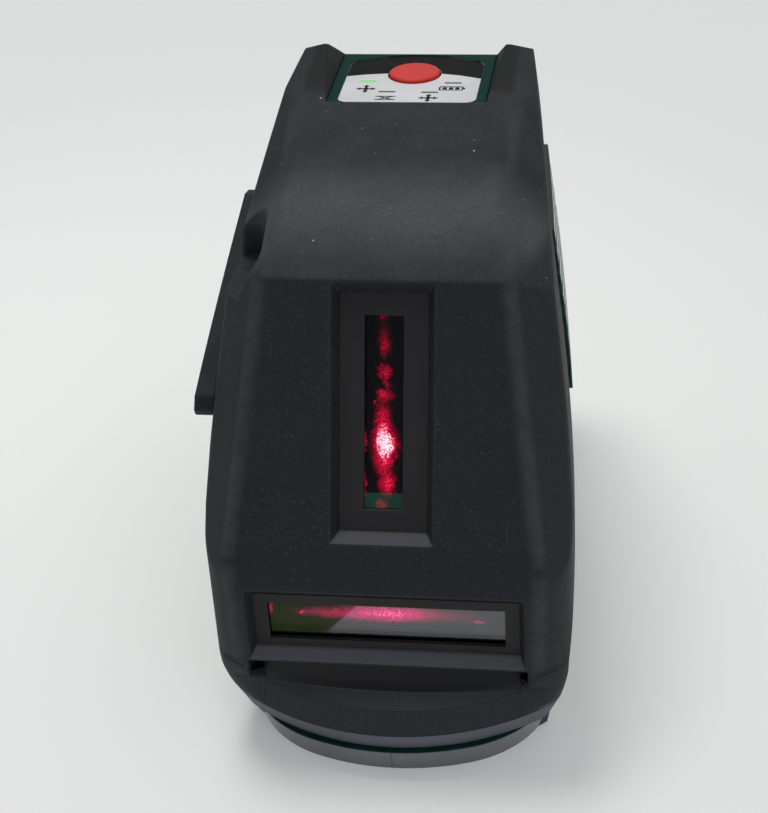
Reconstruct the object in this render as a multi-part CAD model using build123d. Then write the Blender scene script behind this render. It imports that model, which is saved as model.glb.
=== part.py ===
from build123d import *
import os
from math import asin, atan, cos, degrees, radians, sin, sqrt, tan

# Cross line laser level. Millimetres, +Z up, front towards -Y.
# The origin is the centre of the tripod socket's mouth, on the plane the level stands on.

# Overall size
LENGTH = 123.0
WIDTH = 67.0
HEIGHT = 109.3
NOSE_Y = -LENGTH / 2
TAIL_Y = LENGTH / 2
FAR = 80.0

# Sides: widest at the waist, drawn in towards the base and the top, and bowed in towards the rear
WAIST_Z = 40.0
LOWER_SIDE_R = 170.0
UPPER_SIDE_R = 289.0
SIDE_STRAIGHT_Z = 72.0
SIDE_BOW_R = 985.0
SIDE_APEX_Y = -84.0
SIDE_APEX_HALF = 34.5

# Side view: upright foot, sloped face, hood, horns and rounded back
LIP_REACH = 3.9
FRONT_Y = NOSE_Y + LIP_REACH
FACE_TILT = 26.5
FACE_FOOT_Z = 38.6
FACE_FOOT_R = 26.0
FACE_LENGTH = 47.1
HOOD_LENGTH = 39.6
HOOD_RISE = 14.8
HOOD_BULGE = 1.7
HORN_TIP_BACK = 87.5
BACK_MID_PROUD = 2.25
BACK_MID_Z = 89.5
BACK_LOW_Z = 66.0
BACK_BEND_R = 20.0

# Top view: flat front, wide round corners beside it and smaller ones at the back
FRONT_CORNER_REACH = 4.2
FRONT_CORNER_R = 12.0
REAR_CORNER_R = 7.0

# Bevels along both sides of the face, hood and horns
CREASE_RIDGE_INSET = 12.3
HOOD_RIDGE_INSET = 14.0
FACE_BEVEL_TURN = 34.8
FACE_BEVEL_LIFT = 21.3
HOOD_BEVEL_TURN = 17.1
HOOD_BEVEL_LIFT = 41.8
HORN_BEVEL_TURN = 4.5
HORN_BEVEL_LIFT = 61.3
RIDGE_R = 2.5
RIDGE_MIN_LENGTH = 0.5

# Nose: a level bow under the windows, with a lip, a shelf and a recess between two flared corners
LIP_BOTTOM = 5.4
LIP_EDGE_Z = 10.4
LIP_UNDERCUT = 25.0
LIP_DRAFT = 13.0
BOW_R = 46.0
BOW_SIDE_X = 31.5
BOW_CORNER_R = 6.5
SHELF_Z = 15.8
SHELF_RISE = 2.7
RECESS_DEEP = 0.3
RECESS_R = 70.0
RECESS_LAP = 0.8
RECESS_HALF = 25.8
RECESS_TOP_Z = 24.3
RECESS_ROOF = 1.3
FLARE_RISE = 5.0
FLARE_DRAFT = 45.0

# Walls and seams
COVER_WALL = 2.4
HOUSING_WALL = 2.2
BODY_STEP = 0.6
SEAM = 0.15
BASE_OVERRUN = 8.0
FLOOR = 3.0
SEAM_FOOT_BACK = 27.5
SEAM_WAIST_BACK = 34.5
SEAM_WAIST_Z = 50.0
SEAM_KNEE_BACK = 51.5
SEAM_KNEE_DROP = 17.3
SEAM_TOP_BACK = 67.5
SEAM_TOP_DROP = 10.8
HORN_END_BACK = 97.5
HORN_END_DROP = 8.3

# Base strip under the nose lip
TUB_SETBACK = 1.1
TUB_DRAFT = 15.0
TUB_CORNER_R = 24.0

# Side grips
RIB_COUNT = 8
RIB_PITCH = 4.6
RIB_HEIGHT = 2.6
RIB_TOP_Z = 88.0
RIB_FRONT_BACK = 53.5
RIB_REAR_FORE = 35.5
RIB_STAND = 0.9
LEFT_RIB_TOP_Z = 54.0
LEFT_RIB_COUNT = 6

# Windows
V_MOUTH = (18.4, 46.6)
V_FLOOR = (15.7, 42.6)
V_GLASS = (7.0, 34.7)
V_MOUTH_DROP = 0.4
V_BEZEL = (22.0, 45.6)
V_BEZEL_DROP = 1.3
H_MOUTH = (50.8, 16.2)
H_FLOOR = (48.6, 12.4)
H_GLASS = (43.4, 8.4)
H_MOUTH_Z = 32.75
H_GLASS_Z = 32.2
H_BEZEL = (50.8, 12.8)
H_BEZEL_Z = 32.05
BEZEL_T = 3.0
BEZEL_LIP = 0.9
GLASS_T = 1.4
GLASS_LAP = 1.0
SEAL_LAP = 0.8
GLASS_PLAY = 0.1

# Keypad between the horns
KEYPAD_BACK = 80.0
KEYPAD_DROP = 3.6
KEYPAD_TILT = 4.8
PANEL_HALF = 14.9
PANEL_FRONT = 13.0
PANEL_REAR = 13.0
PANEL_T = 2.5
PANEL_PLAY = 0.15
POCKET_FLARE = 28.0
POCKET_LIFT = 10.0
SEAT_T = 1.5
SEAT_WIDTH = 3.0
HORN_WALL = 2.0
LABEL_HALF = 13.0
LABEL_FRONT = 12.4
LABEL_SHOULDER = 8.6
LABEL_REAR = 12.6
LABEL_T = 0.4
LABEL_DEPTH = 0.6
LABEL_CORNER = 2.0
BUTTON_R = 4.85
BUTTON_V = 2.6
BUTTON_STAND = 0.4
BUTTON_GAP = 0.3
BUTTON_FLANGE = 0.9
BUTTON_FLANGE_T = 0.8
BUTTON_TRAVEL = 0.8
PLUNGER_R = 1.5
LIGHT_SIZE = (3.2, 0.7)
LIGHT_PLACES = ((-8.4, -1.2), (-4.2, -6.6), (3.9, -6.8), (7.9, -1.9))
LIGHT_DEEP = 1.8
BOARD_T = 1.6
KEY_BOARD_DROP = 7.4
TACT_SIZE = 6.0
TACT_T = 2.0

# Slide switch on the left side
SLIDE_TILT = 32.0
SLIDE_Y = -14.6
SLIDE_Z = 75.7
SLIDE_LENGTH = 46.3
SLIDE_HEIGHT = 6.0
SLIDE_STAND = 3.6
SLIDE_GAP = 0.5
SLIDE_CHAMFER = 2.0
SLIDE_TRAVEL = 4.0
LUG_U = 12.0
LUG_LENGTH = 6.0
LUG_HEIGHT = 4.0
LUG_PLAY = 0.4
LEG_X = -24.0
LEG_T = 2.0
LEG_TOP_Z = 84.5
FOOT_Z = 6.6
FOOT_T = 1.6
FOOT_FRONT_Y = -31.0
FOOT_WIDTH = 3.2
NOTCH_X = 22.4
NOTCH_FRONT_Y = -31.0
NOTCH_REAR_Y = -15.5
NOTCH_Z = 86.0
NOTCH_R = 4.0

# Gimbal and pendulum
GIMBAL_Y = -18.0
RING_X = 13.5
RING_Y = 10.5
RING_WALL = 3.0
RING_T = 7.0
AXLE_R = 1.5
BEARING_R = 2.4
RUN_FIT = 0.05
YOKE_HALF_X = 5.0
YOKE_HALF_Y = 7.0
YOKE_T = 12.0
STEM_HALF = 5.0
H_LASER_Z = 34.0
V_LASER_Z = 60.0
LASER_R = 5.0
LASER_FRONT = 20.0
LASER_LENGTH = 28.0
CARRIER_WALL = 2.2
CARRIER_FRONT = 9.0
CARRIER_REAR = 13.0
LENS_R = 1.5
LENS_LENGTH = 8.0
LENS_HOLD = 0.7
ADJUST_R = 1.0
WEIGHT_R = 9.6
PLATE_Z = 13.3
PLATE_T = 1.5
PLATE_R = 9.8
PLATE_BORE = 5.0
CAP_R = 4.5
CAP_REACH = 70.0
WEIGHT_SHIFT = 6.0

# Chassis
POST_X = 15.5
POST_T = 3.0
POST_HALF_Y = 5.0
CHASSIS_BASE_T = 3.2
CHASSIS_HALF_X = 22.0
CHASSIS_FRONT = 14.0
CHASSIS_REAR = 10.6
BRIDGE_RISE = 8.0
BRIDGE_T = 3.0
BRIDGE_CHAMFER = 4.0
ARCH_HEIGHT = 10.0
ARCH_HALF = 4.0

# Damper and pendulum lock
YOKE_PLATE_T = 1.8
MAGNET_R = 3.0
MAGNET_T = 3.0
MAGNET_X = 6.0
MAGNET_Y = 7.0
LEVER_Z = 8.5
LEVER_T = 1.7
LEVER_HALF = 2.5
LEVER_PIVOT_X = 12.0
LEVER_HUB_R = 2.2
LEVER_PIN_R = 1.0
LEVER_EAR_T = 2.0
LEVER_EAR_GAP = 0.3
PAD_R = 2.5
PAD_T = 0.7
PAD_CLEAR = 1.1

# Electronics
BOARD_FORE = 41.5
BOARD_HALF_X = 20.0
BOARD_LOW_Z = 16.0
BOARD_HIGH_Z = 78.0
STANDOFF_R = 2.0
CHIP_T = 1.6
KNOB_Z = 30.0
KNOB_SIZE = 3.0
KNOB_REACH = 2.2
KNOB_PLAY = 0.4
SWITCH_WALL = 2.0

# Batteries
CELL_R = 7.25
CELL_LENGTH = 50.5
CELL_PITCH = 14.8
CELL_FORE = 26.1
CELL_BASE_Z = 10.0
TIP_R = 2.7
TIP_LENGTH = 1.2
BOX_WALL = 1.2
CELL_PLAY = 0.3
CONTACT_T = 0.6
LID_HALF = 16.7
LID_TOP_Z = 64.7
LID_T = 1.8
LID_PLAY = 0.3
LID_INSET = 0.2
HINGE_Z = 10.8
HINGE_Y_BACK = 1.5
HINGE_PIN_R = 0.75
HINGE_BARREL_R = 1.15
HINGE_BEARING = 2.0
HINGE_EAR_T = 3.0
HINGE_EAR_Z = 14.0
LID_GROOVES = 4
LID_GROOVE_PITCH = 3.0

# Base socket and screws
INSERT_R = 5.0
INSERT_LENGTH = 9.0
SOCKET_R = 2.6
BOSS_R = 6.5
REAR_SCREW_FORE = 19.5
REAR_SCREW_Z = 72.0
TOP_SCREW_BACK = 73.5
TOP_SCREW_DROP = 19.3
BASE_SCREW_FORE = 46.0
BASE_SCREW_Z = 8.0
SCREW_BOSS_R = 3.2
SCREW_R = 1.25
SCREW_HEAD_R = 2.4
SCREW_HEAD_T = 1.8
SCREW_SINK = 5.0
SCREW_GRIP = 12.0
HEAD_PLAY = 0.3
CHASSIS_SCREW_R = 1.2
CHASSIS_SCREW_X = 13.0
CHASSIS_SCREW_DEPTH = 2.0

# Points of the bow
BOW_Y = NOSE_Y + BOW_R
SHELF_SETBACK = (SHELF_Z - LIP_EDGE_Z) * tan(radians(LIP_DRAFT))
WALL_SETBACK = LIP_REACH + RECESS_DEEP + RECESS_LAP
FRONT_HALF = sqrt((BOW_R + FRONT_CORNER_REACH) ** 2 - (BOW_R - LIP_REACH) ** 2)

# Places behind the nose, in front of the tail and under the top
SEAM_FOOT_Y = NOSE_Y + SEAM_FOOT_BACK
SEAM_WAIST_Y = NOSE_Y + SEAM_WAIST_BACK
SEAM_KNEE_Y = NOSE_Y + SEAM_KNEE_BACK
SEAM_KNEE_Z = HEIGHT - SEAM_KNEE_DROP
SEAM_TOP_Y = NOSE_Y + SEAM_TOP_BACK
SEAM_TOP_Z = HEIGHT - SEAM_TOP_DROP
HORN_TIP_Y = NOSE_Y + HORN_TIP_BACK
HORN_END_Y = NOSE_Y + HORN_END_BACK
HORN_END_Z = HEIGHT - HORN_END_DROP
BACK_MID_Y = (HORN_TIP_Y + TAIL_Y) / 2 + BACK_MID_PROUD
KEYPAD_Y = NOSE_Y + KEYPAD_BACK
KEYPAD_Z = HEIGHT - KEYPAD_DROP
RIB_FRONT_Y = NOSE_Y + RIB_FRONT_BACK
RIB_REAR_Y = TAIL_Y - RIB_REAR_FORE
BOARD_Y = TAIL_Y - BOARD_FORE
CELL_Y = TAIL_Y - CELL_FORE
SCREW_PLACES = (
    (TAIL_Y - REAR_SCREW_FORE, REAR_SCREW_Z),
    (NOSE_Y + TOP_SCREW_BACK, HEIGHT - TOP_SCREW_DROP),
    (TAIL_Y - BASE_SCREW_FORE, BASE_SCREW_Z),
)

# Points of the side view
TILT = radians(FACE_TILT)
CREASE_RIDGE = SIDE_APEX_HALF - CREASE_RIDGE_INSET
HOOD_RIDGE = SIDE_APEX_HALF - HOOD_RIDGE_INSET
FACE_LOW_Y = FRONT_Y + FACE_FOOT_R * (1 - cos(TILT))
FACE_LOW_Z = FACE_FOOT_Z + FACE_FOOT_R * sin(TILT)
CREASE_Y = FACE_LOW_Y + FACE_LENGTH * sin(TILT)
CREASE_Z = FACE_LOW_Z + FACE_LENGTH * cos(TILT)
HOOD_REAR_Y = CREASE_Y + HOOD_LENGTH
HOOD_REAR_Z = CREASE_Z + HOOD_RISE

# Frames of the face, the front foot and the keypad
FACE = Plane(
    origin=(0, CREASE_Y, CREASE_Z), x_dir=(1, 0, 0), z_dir=(0, -cos(TILT), sin(TILT))
)
FOOT = Plane(origin=(0, FRONT_Y, 0), x_dir=(1, 0, 0), z_dir=(0, -1, 0))
KEYPAD = Location((0, KEYPAD_Y, KEYPAD_Z), (-KEYPAD_TILT, 0, 0))

SLIDE_DIR = (0, cos(radians(SLIDE_TILT)), sin(radians(SLIDE_TILT)))
BODY_INNER = BODY_STEP + HOUSING_WALL
CHASSIS_TOP_Z = FLOOR + CHASSIS_BASE_T
YOKE_TOP_Z = CHASSIS_TOP_Z + YOKE_PLATE_T
BOX_HALF = CELL_PITCH / 2 + CELL_R + CELL_PLAY + BOX_WALL
BOX_FRONT_Y = CELL_Y - CELL_R - CELL_PLAY - BOX_WALL
BOX_REAR_Y = CELL_Y + CELL_PITCH + CELL_R + CELL_PLAY
BOX_LOW_Z = CELL_BASE_Z - CONTACT_T - BOX_WALL
BOX_HIGH_Z = CELL_BASE_Z + CELL_LENGTH + CONTACT_T + BOX_WALL
LID_OUT_Y = TAIL_Y - BODY_STEP - LID_INSET
HINGE_Y = TAIL_Y - HINGE_Y_BACK
LEVER_TOP_Z = LEVER_Z + LEVER_T
CAP_Z = LEVER_TOP_Z + PAD_T + PAD_CLEAR
GIMBAL_Z = CAP_Z + CAP_REACH
GIMBAL = (0, GIMBAL_Y, GIMBAL_Z)
BRIDGE_Z = GIMBAL_Z + BRIDGE_RISE
WEIGHT_TOP = H_LASER_Z - LASER_R - CARRIER_WALL


def block(x0, x1, y0, y1, z0, z1):
    """Box between two corners."""
    return Pos((x0 + x1) / 2, (y0 + y1) / 2, (z0 + z1) / 2) * Box(x1 - x0, y1 - y0, z1 - z0)


def rod_x(y, z, radius, x0, x1):
    """Cylinder along X."""
    return Pos((x0 + x1) / 2, y, z) * Rot(0, 90, 0) * Cylinder(radius, x1 - x0)


def rod_y(x, z, radius, y0, y1):
    """Cylinder along Y."""
    return Pos(x, (y0 + y1) / 2, z) * Rot(90, 0, 0) * Cylinder(radius, y1 - y0)


def rod_z(x, y, radius, z0, z1):
    """Cylinder along Z."""
    return Pos(x, y, (z0 + z1) / 2) * Cylinder(radius, z1 - z0)


def half_width_at(y, z):
    """Half of the level's width at a place, from the arcs of the front view and the bow in plan."""
    bow = SIDE_BOW_R - sqrt(SIDE_BOW_R**2 - (y - SIDE_APEX_Y) ** 2)
    if z < WAIST_Z:
        return SIDE_APEX_HALF - bow - arc_drop(LOWER_SIDE_R, WAIST_Z - z)
    curved = min(z, SIDE_STRAIGHT_Z) - WAIST_Z
    lean = curved / sqrt(UPPER_SIDE_R**2 - curved**2)
    return SIDE_APEX_HALF - bow - arc_drop(UPPER_SIDE_R, curved) - lean * (z - WAIST_Z - curved)


def arc_drop(radius, reach):
    """How far an arc falls from its tangent at a distance along it."""
    return radius - sqrt(radius**2 - reach**2)


def side_outline():
    """Outline seen from the side, as a face of (y, z)."""
    bend = TILT / 2
    foot_mid = (FRONT_Y + FACE_FOOT_R * (1 - cos(bend)), FACE_FOOT_Z + FACE_FOOT_R * sin(bend))
    slope = sqrt(HOOD_LENGTH**2 + HOOD_RISE**2)
    hood_mid = (
        CREASE_Y + HOOD_LENGTH / 2 - HOOD_BULGE * HOOD_RISE / slope,
        CREASE_Z + HOOD_RISE / 2 + HOOD_BULGE * HOOD_LENGTH / slope,
    )
    foot = (FRONT_Y, FACE_FOOT_Z)
    face_low = (FACE_LOW_Y, FACE_LOW_Z)
    crease = (CREASE_Y, CREASE_Z)
    hood_rear = (HOOD_REAR_Y, HOOD_REAR_Z)
    horn_tip = (HORN_TIP_Y, HEIGHT)
    back_low = (TAIL_Y, BACK_LOW_Z)
    edges = [
        Line((FRONT_Y, -BASE_OVERRUN), foot),
        ThreePointArc(foot, foot_mid, face_low),
        Line(face_low, crease),
        ThreePointArc(crease, hood_mid, hood_rear),
        Line(hood_rear, horn_tip),
        ThreePointArc(horn_tip, (BACK_MID_Y, BACK_MID_Z), back_low),
        Line(back_low, (TAIL_Y, -BASE_OVERRUN)),
        Line((TAIL_Y, -BASE_OVERRUN), (FRONT_Y, -BASE_OVERRUN)),
    ]
    face = make_face(edges)
    bend_at = face.vertices().sort_by_distance((TAIL_Y, BACK_LOW_Z))[0]
    return fillet(bend_at, BACK_BEND_R)


def front_outline():
    """Outline seen from the front, as a face of (x, z)."""
    top_z = HEIGHT + LIP_REACH
    edges = []
    for side in (-1, 1):
        lower = (WAIST_Z - BASE_OVERRUN) / 2
        upper = (WAIST_Z + SIDE_STRAIGHT_Z) / 2
        places = [-BASE_OVERRUN, lower, WAIST_Z, upper, SIDE_STRAIGHT_Z, top_z]
        points = [(side * half_width_at(SIDE_APEX_Y, z), z) for z in places]
        edges.append(ThreePointArc(points[0], points[1], points[2]))
        edges.append(ThreePointArc(points[2], points[3], points[4]))
        edges.append(Line(points[4], points[5]))
    base = half_width_at(SIDE_APEX_Y, -BASE_OVERRUN)
    top = half_width_at(SIDE_APEX_Y, top_z)
    edges.append(Line((-base, -BASE_OVERRUN), (base, -BASE_OVERRUN)))
    edges.append(Line((-top, top_z), (top, top_z)))
    return make_face(edges)


def plan_outline():
    """Outline seen from above, as a face of (x, y)."""
    half = WIDTH / 2
    rear = half_width_at(TAIL_Y, WAIST_Z)
    radius = BOW_R + FRONT_CORNER_REACH
    middle_x = (FRONT_HALF + half) / 2
    middle_y = BOW_Y - sqrt(radius**2 - middle_x**2)
    side_y = BOW_Y - sqrt(radius**2 - half**2)
    edges = [
        Line((-FRONT_HALF, FRONT_Y), (FRONT_HALF, FRONT_Y)),
        ThreePointArc((FRONT_HALF, FRONT_Y), (middle_x, middle_y), (half, side_y)),
        Polyline((half, side_y), (half, 0), (rear, TAIL_Y), (-rear, TAIL_Y), (-half, 0), (-half, side_y)),
        ThreePointArc((-half, side_y), (-middle_x, middle_y), (-FRONT_HALF, FRONT_Y)),
    ]
    face = make_face(edges)
    face = fillet(face.vertices().group_by(Axis.Y)[1], FRONT_CORNER_R)
    return fillet(face.vertices().group_by(Axis.Y)[-1], REAR_CORNER_R)


def between_sides(inset=0.0):
    """Space between the two bowed sides."""
    front = offset(front_outline(), -inset, kind=Kind.INTERSECTION) if inset else front_outline()
    axis = Axis((SIDE_APEX_HALF - SIDE_BOW_R, SIDE_APEX_Y, 0), (0, 0, 1))
    sweep_angle = degrees(asin((TAIL_Y - NOSE_Y + FAR) / SIDE_BOW_R))
    right = revolve(Plane.XZ.offset(-SIDE_APEX_Y) * front, axis, sweep_angle)
    return right & mirror(right, about=Plane.YZ)


def bevel_plane(point, turn, lift, inset, side):
    """Plane of one bevel, facing outwards and forwards on one side of the level."""
    flat = cos(radians(lift))
    normal = Vector(side * flat * cos(radians(turn)), -flat * sin(radians(turn)), sin(radians(lift)))
    place = Vector(side * point[0], point[1], point[2]) - normal * inset
    return Plane(origin=place, z_dir=normal)


def envelope(inset=0.0):
    """Body form without the lip, drawn in by an inset on every side but the base."""
    side = offset(side_outline(), -inset, kind=Kind.INTERSECTION) if inset else side_outline()
    plan = offset(plan_outline(), -inset, kind=Kind.INTERSECTION) if inset else plan_outline()
    form = extrude(Plane.YZ * side, WIDTH, both=True)
    form = form & between_sides(inset)
    form = form & extrude(plan, HEIGHT * 2, both=True)
    form = form & nose_space(inset)
    for cut in ridge_cuts(inset) + horn_cuts(inset):
        form = split(form, bisect_by=cut, keep=Keep.BOTTOM)
    return form


def ridge_cuts(inset):
    """Planes of the bevels beside the face and the hood."""
    crease = (CREASE_RIDGE, CREASE_Y, CREASE_Z)
    cuts = []
    for side in (-1, 1):
        cuts.append(bevel_plane(crease, FACE_BEVEL_TURN, FACE_BEVEL_LIFT, inset, side))
        cuts.append(bevel_plane(crease, HOOD_BEVEL_TURN, HOOD_BEVEL_LIFT, inset, side))
    return cuts


def horn_cuts(inset):
    """Planes of the bevels on the outer sides of the horns."""
    hood = (HOOD_RIDGE, HOOD_REAR_Y, HOOD_REAR_Z)
    return [bevel_plane(hood, HORN_BEVEL_TURN, HORN_BEVEL_LIFT, inset, side) for side in (-1, 1)]


def rounded_envelope():
    """Body form with its long ridges rounded."""
    form = envelope()
    cuts = ridge_cuts(0)
    ridges = []
    for edge in form.edges():
        middle = edge.position_at(0.5)
        on_bevel = any(abs(cut.to_local_coords(middle).Z) < RUN_FIT for cut in cuts) and middle.Y < HOOD_REAR_Y
        on_front = abs(middle.Y - FRONT_Y) < RUN_FIT and abs(abs(middle.X) - FRONT_HALF) < RUN_FIT
        if (on_bevel or on_front) and edge.length > RIDGE_MIN_LENGTH:
            ridges.append(edge)
    return fillet(ridges, RIDGE_R)


def lip_outline(setback=0.0, back_y=SEAM_FOOT_Y, corner_r=BOW_CORNER_R):
    """Bow seen from above, drawn in by a setback, as a face of (x, y)."""
    radius = BOW_R - setback
    side_x = BOW_SIDE_X - setback
    side_y = BOW_Y - sqrt(radius**2 - side_x**2)
    edges = [
        ThreePointArc((-side_x, side_y), (0, BOW_Y - radius), (side_x, side_y)),
        Polyline((side_x, side_y), (side_x, back_y), (-side_x, back_y), (-side_x, side_y)),
    ]
    face = make_face(edges)
    return fillet(face.vertices().group_by(Axis.Y)[0], corner_r - setback)


def nose_space(inset=0.0):
    """Room that the body has at the nose: behind the recess, in the flared corners and all above them."""
    roof_z = RECESS_TOP_Z + min(inset, RECESS_ROOF)
    core = rod_z(0, BOW_Y, BOW_R - WALL_SETBACK - inset, 0, roof_z)
    core += block(-WIDTH, WIDTH, BOW_Y, LENGTH, 0, roof_z)
    reach = RECESS_HALF + inset
    wall = rod_z(0, FRONT_Y + RECESS_DEEP + RECESS_R, RECESS_R - inset, SHELF_Z, roof_z)
    core += wall & block(-reach, reach, -LENGTH, BOW_Y, SHELF_Z, roof_z)
    above = block(-WIDTH, WIDTH, -LENGTH, LENGTH, roof_z, HEIGHT * 2)
    flare_z = SHELF_Z + FLARE_RISE
    spread = FLARE_RISE * tan(radians(FLARE_DRAFT))
    flare = extrude(Pos(0, 0, SHELF_Z) * lip_outline(SHELF_SETBACK + inset), FLARE_RISE, taper=-FLARE_DRAFT)
    flare += extrude(Pos(0, 0, flare_z) * lip_outline(SHELF_SETBACK + inset - spread), roof_z - flare_z)
    flare -= block(-reach, reach, -LENGTH, LENGTH, 0, HEIGHT)
    return core + above + flare


def lip():
    """Nose lip: undercut edge, drafted band and sloped shelf."""
    edge = Pos(0, 0, LIP_EDGE_Z) * lip_outline()
    slope = degrees(atan((WALL_SETBACK - SHELF_SETBACK) / SHELF_RISE))
    form = extrude(edge, LIP_BOTTOM - LIP_EDGE_Z, taper=LIP_UNDERCUT)
    form += extrude(edge, SHELF_Z - LIP_EDGE_Z, taper=LIP_DRAFT)
    form += extrude(Pos(0, 0, SHELF_Z) * lip_outline(SHELF_SETBACK), SHELF_RISE, taper=slope)
    return form & between_sides()


def cover_region(grow=0.0):
    """Space of the front cover: in front of and above the seam seen from the side."""
    outline = Polyline(
        (NOSE_Y - FAR, LIP_BOTTOM),
        (SEAM_FOOT_Y, LIP_BOTTOM),
        (SEAM_WAIST_Y, SEAM_WAIST_Z),
        (SEAM_KNEE_Y, SEAM_KNEE_Z),
        (SEAM_TOP_Y, SEAM_TOP_Z),
        (HORN_END_Y, HORN_END_Z),
        (HORN_END_Y, HEIGHT + FAR),
        (NOSE_Y - FAR, HEIGHT + FAR),
        close=True,
    )
    face = make_face(outline)
    if grow:
        face = offset(face, grow, kind=Kind.INTERSECTION)
    return extrude(Plane.YZ * face, WIDTH, both=True)


def drafted_opening(frame, centre, mouth, floor, depth):
    """Recess through a wall that narrows from its mouth to its floor."""
    reach = 1.0
    grow = [(mouth[i] - floor[i]) * reach / depth for i in range(2)]
    outer = frame.offset(reach) * Pos(*centre) * Rectangle(mouth[0] + grow[0], mouth[1] + grow[1])
    inner = frame.offset(-depth) * Pos(*centre) * Rectangle(*floor)
    return loft([outer, inner])


def on_face(centre, size, shallow, deep, frame):
    """Plate behind a sloped or upright face, between two depths."""
    sheet = frame.offset(-deep) * Pos(*centre) * Rectangle(*size)
    return extrude(sheet, deep - shallow)


def keypad_block(half, front, rear, low, high):
    """Box in the keypad's own tilted frame."""
    return KEYPAD * block(-half, half, -front, rear, low, high)


def keypad_pocket():
    """Open space between the horns, flaring out above the keypad."""
    flare = POCKET_LIFT * tan(radians(POCKET_FLARE))
    half = PANEL_HALF + PANEL_PLAY
    rear = TAIL_Y
    low = Rectangle(2 * half, PANEL_FRONT + rear)
    high = Rectangle(2 * (half + flare), PANEL_FRONT + rear + flare)
    middle = (rear - PANEL_FRONT) / 2
    pocket = loft([Pos(0, middle, 0) * low, Pos(0, middle - flare / 2, POCKET_LIFT) * high])
    return KEYPAD * pocket


def finger_notch(grow=0.0):
    """Thumb space in the left bevel, above the slide switch."""
    shape = block(
        -WIDTH, grow - NOTCH_X, NOTCH_FRONT_Y - grow, NOTCH_REAR_Y + grow, NOTCH_Z - grow, HEIGHT + FAR
    )
    return fillet(shape.edges().filter_by(Axis.Z).group_by(Axis.X)[-1], NOTCH_R)


def front_cover():
    """Black soft-grip shell: face, hood, horns and nose lip."""
    outer = (rounded_envelope() + lip()) & cover_region()
    void = envelope(COVER_WALL) - finger_notch(COVER_WALL)
    seat_low = -PANEL_T - SEAT_T
    void -= keypad_block(PANEL_HALF + HORN_WALL * 2, PANEL_FRONT + HORN_WALL, TAIL_Y, seat_low, FAR)
    cover = outer - void
    panel_half = PANEL_HALF + PANEL_PLAY
    cover -= keypad_pocket()
    cover -= keypad_block(panel_half, PANEL_FRONT + PANEL_PLAY, PANEL_REAR + PANEL_PLAY, -PANEL_T, FAR)
    hole = PANEL_HALF - SEAT_WIDTH
    cover -= keypad_block(hole, PANEL_FRONT - SEAT_WIDTH, PANEL_REAR - SEAT_WIDTH, -FAR / 4, FAR)
    v_centre = (0, -V_MOUTH_DROP - V_MOUTH[1] / 2)
    cover -= drafted_opening(FACE, v_centre, V_MOUTH, V_FLOOR, COVER_WALL)
    cover -= drafted_opening(FOOT, (0, H_MOUTH_Z), H_MOUTH, H_FLOOR, COVER_WALL)
    return cover - finger_notch()


def base_tub():
    """Green base strip that shows under the nose lip."""
    top_z = LIP_BOTTOM - SEAM
    face = Pos(0, 0, top_z) * lip_outline(TUB_SETBACK, SEAM_FOOT_Y, TUB_CORNER_R)
    tub = extrude(face, -top_z, taper=TUB_DRAFT)
    return tub & between_sides(BODY_STEP)


def grip_ribs():
    """Rows of level ribs that stand proud of both sides, lower on the left under the slide switch."""
    skin = envelope(BODY_STEP - RIB_STAND) - cover_region(SEAM)
    rows = []
    for side, top_z, count in ((-1, LEFT_RIB_TOP_Z, LEFT_RIB_COUNT), (1, RIB_TOP_Z, RIB_COUNT)):
        reach = sorted((side * WIDTH / 4, side * WIDTH))
        for i in range(count):
            z = top_z - i * RIB_PITCH
            rows.append(block(reach[0], reach[1], RIB_FRONT_Y, RIB_REAR_Y, z - RIB_HEIGHT, z))
    return skin & (rows[0] + rows[1:])


def slide_frame(u, v):
    """Point (y, z) at u along the slide and v across it."""
    tilt = radians(SLIDE_TILT)
    return SLIDE_Y + u * cos(tilt) - v * sin(tilt), SLIDE_Z + u * sin(tilt) + v * cos(tilt)


def slide_block(u0, u1, v0, v1, x0, x1):
    """Box in line with the slide's travel."""
    y, z = slide_frame((u0 + u1) / 2, (v0 + v1) / 2)
    return Pos((x0 + x1) / 2, y, z) * Rot(SLIDE_TILT, 0, 0) * Box(x1 - x0, u1 - u0, v1 - v0)


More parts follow.
